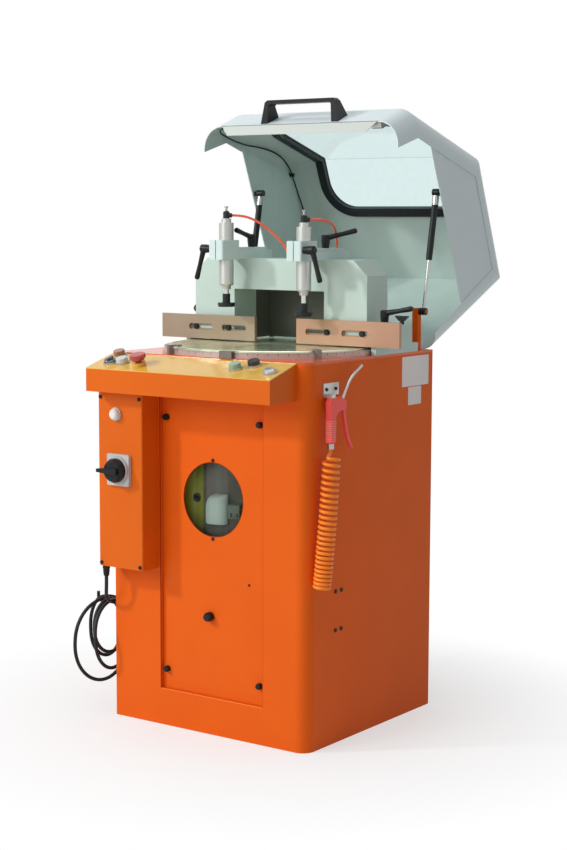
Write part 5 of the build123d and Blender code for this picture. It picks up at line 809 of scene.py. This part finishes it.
def guard_cover():
    """Pale half-round cover on the face of the guard, cut away in a quarter circle at its upper left."""
    shape = bmesh.new()
    rings = []
    round_foot = COVER_TOP - COVER_ROUND
    heights = [COVER_LOW, COVER_LOW + COVER_BEVEL_HEIGHT, round_foot]
    heights += [COVER_TOP - COVER_ROUND * (1 - math.sin(math.pi / 2 * step / ROUND_STEPS))
                for step in range(1, ROUND_STEPS)]
    angles = [math.pi * step / COVER_STEPS for step in range(COVER_STEPS + 1)]
    for height in heights:
        rise = max(0.0, height - round_foot)
        left = COVER_X[0] + COVER_ROUND - math.sqrt(max(0.0, COVER_ROUND ** 2 - rise ** 2))
        right = COVER_X[1] - max(0.0, height - (COVER_TOP - COVER_SLOPE_HEIGHT)) * COVER_SLOPE
        inset = COVER_BEVEL if height == COVER_LOW else 0.0
        middle, half = (left + right) / 2, (right - left) / 2 - inset
        crown = max(COVER_THINNEST, (COVER_TOP - height) / COVER_CROWN)
        depth = (COVER_DEPTH - inset) * min(1.0, math.sqrt(crown))
        rings.append([(middle - half * math.cos(angle), GUARD_FACE - depth * math.sin(angle), height)
                      for angle in angles])
    loft(shape, rings)
    cabinet_piece("guard_cover", shape, surface("guard_cover", PALE_COVER), smooth=True)


# Valve block on the guard: its middle, size and corners, its levels as heights and insets, and its ports

BLOCK_PLACE = (57.0, 537.0)
BLOCK_SIZE = (36.0, 36.0)
BLOCK_CORNER = 3.0
BLOCK_LEVELS = ((0.0, 0.0), (12.0, 0.0), (14.0, 1.5))
PORT_OFFSETS = ((-9.0, -7.0), (9.0, -7.0))
PORT_PROFILE = ((14.0, 5.0), (17.0, 5.0), (18.0, 4.2), (17.0, 2.6))
PORT_POINTS = 16


def guard_block():
    """Small valve block on the guard beside the cover, with two ports on its face."""
    shape = bmesh.new()
    loft(shape, plate_rings(on_guard(BLOCK_PLACE), BLOCK_SIZE, BLOCK_CORNER, BLOCK_LEVELS))
    for across, up in PORT_OFFSETS:
        centre = (BLOCK_PLACE[0] + across, BLOCK_PLACE[1] + up)
        loft(shape, disc_rings(on_guard(centre), PORT_POINTS, PORT_PROFILE))
    cabinet_piece("guard_block", shape, surface("guard_block", VALVE))


window_guard()
guard_cover()
guard_block()


# Grip of the blow gun: its place, its half sizes at the bottom, and how much wider it is at the top. Its ribs: where
# they begin and end, and the profile of one, as shares of the pitch and heights above the grip.

GUN_X, GUN_Y = 306.0, -206.0
GRIP_BOTTOM, GRIP_LENGTH = 714.0, 72.0
GRIP_HALF_X, GRIP_HALF_Y = 8.0, 8.5
GRIP_BACK_FLARE, GRIP_FRONT_FLARE = 1.0, 2.4
GRIP_CORNER = 2.5
RIBS_Z = (718.0, 768.0)
RIB_COUNT = 10
RIB_VALLEY, RIB_CREST = -0.6, 1.1
RIB_PROFILE = ((0.15, RIB_VALLEY), (0.38, RIB_CREST), (0.62, RIB_CREST), (0.85, RIB_VALLEY))


def grip_section(height, growth):
    """Outline of the grip at a height, grown by a margin."""
    share = (height - GRIP_BOTTOM) / GRIP_LENGTH
    back = GUN_Y - GRIP_HALF_Y - GRIP_BACK_FLARE * share - growth
    front = GUN_Y + GRIP_HALF_Y + GRIP_FRONT_FLARE * share + growth
    outline = rounded_outline(2 * (GRIP_HALF_X + growth), front - back, GRIP_CORNER)
    return [(GUN_X + across, (front + back) / 2 + along, height) for across, along in outline]


def grip_ribs():
    """Moulded ribs round the gun's grip, as one sleeve that lies inside the grip between them, in a paler red that is
    painted highlight.
    """
    shape = bmesh.new()
    pitch = (RIBS_Z[1] - RIBS_Z[0]) / RIB_COUNT
    rings = [grip_section(RIBS_Z[0], RIB_VALLEY)]
    for count in range(RIB_COUNT):
        rings += [grip_section(RIBS_Z[0] + (count + part) * pitch, growth) for part, growth in RIB_PROFILE]
    rings.append(grip_section(RIBS_Z[1], RIB_VALLEY))
    loft(shape, rings)
    cabinet_piece("grip_ribs", shape, surface("grip_ribs", GUN_RIB_HIGHLIGHT))


grip_ribs()


# Cords, on the same control points as the CAD ones, in millimetres

ROUND_RESOLUTION = 4
LENGTH_RESOLUTION = 4


def spline_curve(name, points, radius):
    """Smooth round cord on control points in millimetres."""
    curve = bpy.data.curves.new(name, "CURVE")
    curve.dimensions = "3D"
    curve.bevel_depth = radius * MM
    curve.bevel_resolution = ROUND_RESOLUTION
    curve.resolution_u = LENGTH_RESOLUTION
    curve.use_fill_caps = True
    spline = curve.splines.new("NURBS")
    spline.points.add(len(points) - 1)
    for point, place in zip(spline.points, points):
        point.co = (place[0] * MM, place[1] * MM, place[2] * MM, 1.0)
    spline.order_u = 3
    spline.use_endpoint_u = True
    return add_object(name, curve)


# Mains lead, from the gland over the hook in loose loops to the plug

class Loop(NamedTuple):
    """One loose loop: height and half width, swing in degrees, and how far its middle lies along the swing."""
    height: float
    half: float
    swing: float
    shift: float


LEAD_RADIUS = 4.5
LOOPS = (Loop(170.0, 55.0, 10.0, 20.0), Loop(133.0, 43.0, 23.0, 13.0), Loop(206.0, 71.0, 28.0, 24.0),
         Loop(147.0, 41.0, 30.0, 0.0))
QUARTER_POINTS = 4

# On the hook: the line and height of the cord, how far the control point at a top is raised, the distance between
# loops, that of the first one from the wall, and the way on which the last one leaves
HOOK_Y = -245.0
CORD_TOP = 282.8
CORD_LIFT = 2.4
LOOP_PITCH = 14.0
LOOP_FIRST_REACH = 12.0
LOOP_LEAVING = Vector((0.6, 0.8, 0.0))

# Heights below the top at which a loop is widest at the back and at the front, as shares of its height
WIDEST_BACK, WIDEST_FRONT = 0.5, 0.55

# Points before and after the loops, and how far from the first and the last top the cord is led straight
LEAD_START = (-272.0, -320.0, 359.0)
LEAD_BENDS = ((-272, -320, 335), (-287, -305, 302))
LEAD_APPROACH = 30
TAIL_BENDS = ((-322, -198, 271), (-312, -176, 248), (-308, -164, 218), (-308, -164, 190))
TAIL_LEAVING = 28


def loop_top(count):
    """Top of a loop on the hook."""
    return Vector((-HALF_WIDTH - LOOP_FIRST_REACH - count * LOOP_PITCH, HOOK_Y, CORD_TOP))


def swing_way(degrees):
    """Level direction of a loop that is swung out of the plane of the wall."""
    return Vector((-math.sin(math.radians(degrees)), -math.cos(math.radians(degrees)), 0.0))


def loop_points(count):
    """Points of one loose loop: down the back, under, up the front and towards the next top."""
    height, half, swing, shift = LOOPS[count]
    top = loop_top(count)
    way = swing_way(swing)
    next_top = loop_top(count + 1)
    next_way = swing_way(LOOPS[count + 1].swing) if count + 1 < len(LOOPS) else -LOOP_LEAVING
    points = []
    for step in range(4 * QUARTER_POINTS):
        quarter, part = divmod(step, QUARTER_POINTS)
        angle = 0.5 * math.pi * part / QUARTER_POINTS
        sine, cosine = math.sin(angle), math.cos(angle)
        if quarter == 0:
            along, drop = (shift - half) * sine, WIDEST_BACK * height * (1 - cosine)
        elif quarter == 1:
            along, drop = shift - half * cosine, height - (1 - WIDEST_BACK) * height * (1 - sine)
        elif quarter == 2:
            along, drop = shift + half * sine, height - (1 - WIDEST_FRONT) * height * (1 - cosine)
        else:
            along, drop = (shift + half) * cosine, WIDEST_FRONT * height * (1 - sine)
        share = part / QUARTER_POINTS if quarter == 3 else 0.0
        base = top.lerp(next_top, share)
        heading = way.lerp(next_way, share) if share else way
        lift = CORD_LIFT if step == 0 else 0.0
        points.append(base + heading * along + Vector((0, 0, lift - drop)))
    return points


lead_points = [Vector(LEAD_START), *map(Vector, LEAD_BENDS),
               loop_top(0) + swing_way(LOOPS[0].swing) * LEAD_APPROACH]
hank_points = [point for count in range(len(LOOPS)) for point in loop_points(count)]
last_top = loop_top(len(LOOPS))
tail_points = [last_top + Vector((0, 0, CORD_LIFT)), last_top + LOOP_LEAVING * TAIL_LEAVING,
               *map(Vector, TAIL_BENDS)]
mains_lead = spline_curve("mains_lead", lead_points + hank_points + tail_points, LEAD_RADIUS)
mains_lead.data.materials.append(sheath)
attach(mains_lead, "cabinet")
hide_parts("mains_cord", "cord_hank")


# Spiral air hose, from the gun's collar to the fitting on the wall. Its axis runs between two points given as y and
# z, with a slight bow, and the slack sets its turns wider apart at the top than at the bottom.

HOSE_RADIUS = 4.0
HOSE_CURLS = 26
HOSE_CURL_RADIUS = 17.5
HOSE_X = 313.0
HOSE_TOP = (-213.0, 684.0)
HOSE_LOW = (-249.0, 388.0)
HOSE_BOW = 3.0
HOSE_SLACK = 0.25
HOSE_FIRST_TURN = 0.5
CURL_POINTS = 12
CURL_SWELL = 1.035
HOSE_START = (GUN_X, GUN_Y, 702.0)
HOSE_NECK = (GUN_X, GUN_Y, 694.0)
HOSE_END = ((304, -231.5, 387.6), (292, -231.5, 387.5))


def hose_point(turns):
    """Point of the spiral after a number of turns, a little outside it because the line cuts its corners."""
    angle = 2 * math.pi * turns
    share = (turns - HOSE_FIRST_TURN) / (HOSE_CURLS - HOSE_FIRST_TURN)
    share = share * (1 + HOSE_SLACK) - HOSE_SLACK * share ** 2
    y = HOSE_TOP[0] + (HOSE_LOW[0] - HOSE_TOP[0]) * share + HOSE_BOW * math.sin(math.pi * share)
    z = HOSE_TOP[1] + (HOSE_LOW[1] - HOSE_TOP[1]) * share
    radius = HOSE_CURL_RADIUS * CURL_SWELL
    return Vector((HOSE_X - radius * math.sin(angle), y + radius * math.cos(angle), z))


first_step = round(CURL_POINTS * HOSE_FIRST_TURN)
curl_points = [hose_point(step / CURL_POINTS) for step in range(first_step, CURL_POINTS * HOSE_CURLS + 1)]
spiral = spline_curve("spiral_air_hose", [HOSE_START, HOSE_NECK, *curl_points, *HOSE_END], HOSE_RADIUS)
spiral.data.materials.append(hose_plastic)
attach(spiral, "cabinet")
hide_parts("spiral_hose")


# Air tubes of the clamps, from the elbow to the gantry

TUBE_RADIUS = 3.0
LEFT_TUBE = ((-104.8, -36.6, 1228), (-85.6, -22.2, 1228), (-60.8, -3.6, 1218), (-35.2, 15.6, 1197),
             (-12.8, 32.4, 1171), (5.6, 46.2, 1144), (5.6, 46.2, 1123))
RIGHT_TUBE = ((127.2, -36.6, 1219), (144.8, -23.4, 1219), (154, 2, 1214.9), (150, 30, 1205.2),
              (137, 56, 1194.2), (125, 78, 1181), (121, 88, 1167.9), (121, 88, 1150))


def evaluated_mesh(piece):
    """New mesh of a curve as it stands."""
    bpy.context.view_layer.update()
    return bpy.data.meshes.new_from_object(piece.evaluated_get(bpy.context.evaluated_depsgraph_get()))


def bending_tube(side, points, radius):
    """Air tube on the cord's own line, as a fixed mesh in place of the CAD tube."""
    line = spline_curve(f"air_line_{side}", points, 0.0)
    centre = evaluated_mesh(line)
    line.data.bevel_depth = radius * MM
    mesh = evaluated_mesh(line)
    bpy.data.objects.remove(line)
    bpy.data.meshes.remove(centre)
    for polygon in mesh.polygons:
        polygon.use_smooth = True
    mesh.materials.clear()
    mesh.materials.append(tube_plastic)
    tube = add_object(f"air_tube_bend_{side}", mesh)
    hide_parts(f"air_tube_{side}")
    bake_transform(tube)


bending_tube("left", LEFT_TUBE, radius=TUBE_RADIUS)
bending_tube("right", RIGHT_TUBE, radius=TUBE_RADIUS)


# Switch cable along the hood's left inside

CABLE_RADIUS = 2.0
CABLE_START = (-236.0, 115.9, 1448.2)
CABLE_BENDS = ((-256, 115.9, 1448.2), (-274, 134, 1438), (-281, 160, 1432), (-283, 206, 1420), (-282, 252, 1411),
               (-280, 300, 1408), (-276, 345, 1402), (-274.5, 386, 1392), (-277, 420, 1378), (-282, 455, 1354),
               (-282, 474, 1322), (-283, 494, 1288), (-282, 514, 1256), (-282, 521, 1236), (-282, 521, 1216))

switch_cable = spline_curve("switch_cable", [CABLE_START, *CABLE_BENDS], CABLE_RADIUS)
switch_cable.data.materials.append(sheath)
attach(switch_cable, "hood")
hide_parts("hood_cable")


# Floor and light. The floor's shadow fades to plain white between two distances from the origin, in metres.

FLOOR_SIZE = 30.0
FLOOR_NOISE = 3.0
FLOOR_TONES = (0.90, 0.94)
FLOOR_ROUGH = 0.8
FLOOR_SPECULAR = 0.1
FADE_SHARES = (0.55, 1.0)
FADE_DISTANCES = (0.35, 0.95)
WHITE_LEVEL = 1.0
WORLD_LEVEL = 0.32


def seen(tree):
    """1 where the camera looks at a thing itself, through glass or in a reflection."""
    rays = tree.nodes.new("ShaderNodeLightPath").outputs
    either = calc(tree, "MAXIMUM", rays["Is Camera Ray"], rays["Is Transmission Ray"])
    return calc(tree, "MAXIMUM", either, rays["Is Glossy Ray"])


def studio_floor():
    """White floor that keeps the shadow beside the object and turns to plain white farther out."""
    mesh = bpy.data.meshes.new("floor")
    plane = bmesh.new()
    bmesh.ops.create_grid(plane, x_segments=1, y_segments=1, size=FLOOR_SIZE)
    plane.to_mesh(mesh)
    plane.free()
    floor = add_object("floor", mesh)
    floor_paint, tree, bsdf, place = new_shader("floor")
    worn = spread(tree, noise(tree, place, FLOOR_NOISE), *FLOOR_TONES)
    grey = tree.nodes.new("ShaderNodeCombineColor")
    for socket in grey.inputs[:3]:
        tree.links.new(worn, socket)
    tree.links.new(grey.outputs[0], bsdf.inputs["Base Color"])
    bsdf.inputs["Roughness"].default_value = FLOOR_ROUGH
    bsdf.inputs["Specular IOR Level"].default_value = FLOOR_SPECULAR
    x, y, _ = axes(tree, place)
    far = spread(tree, reach(tree, x, y), *FADE_SHARES, *FADE_DISTANCES)
    glow = tree.nodes.new("ShaderNodeEmission")
    glow.inputs["Strength"].default_value = WHITE_LEVEL
    mixed = tree.nodes.new("ShaderNodeMixShader")
    tree.links.new(calc(tree, "MULTIPLY", far, seen(tree)), mixed.inputs[0])
    tree.links.new(bsdf.outputs[0], mixed.inputs[1])
    tree.links.new(glow.outputs[0], mixed.inputs[2])
    tree.links.new(mixed.outputs[0], tree.nodes["Material Output"].inputs["Surface"])
    mesh.materials.append(floor_paint)


def studio_world():
    """White background with softer light on the object."""
    world = bpy.data.worlds.new("studio")
    world.use_nodes = True
    tree = world.node_tree
    background = tree.nodes["Background"]
    background.inputs["Color"].default_value = (1.0, 1.0, 1.0, 1.0)
    tree.links.new(number_mix(tree, seen(tree), WORLD_LEVEL, WHITE_LEVEL), background.inputs["Strength"])
    bpy.context.scene.world = world


def area_light(name, place, target, size, power):
    """Round light that looks at a target."""
    light = bpy.data.lights.new(name, "AREA")
    light.shape = "DISK"
    light.size = size
    light.energy = power
    lamp = add_object(name, light)
    lamp.location = place
    aim = Vector(target) - Vector(place)
    lamp.rotation_euler = aim.to_track_quat("-Z", "Y").to_euler()


studio_floor()
studio_world()
area_light("key", place=(-1.2, -4.6, 2.6), target=(0, 0, 0.8), size=2.4, power=72)
area_light("side_key", place=(-3.0, -3.4, 3.4), target=(0, 0, 0.8), size=0.45, power=108)
area_light("top", place=(0.2, -0.8, 4.2), target=(0, 0, 0.9), size=2.5, power=26)
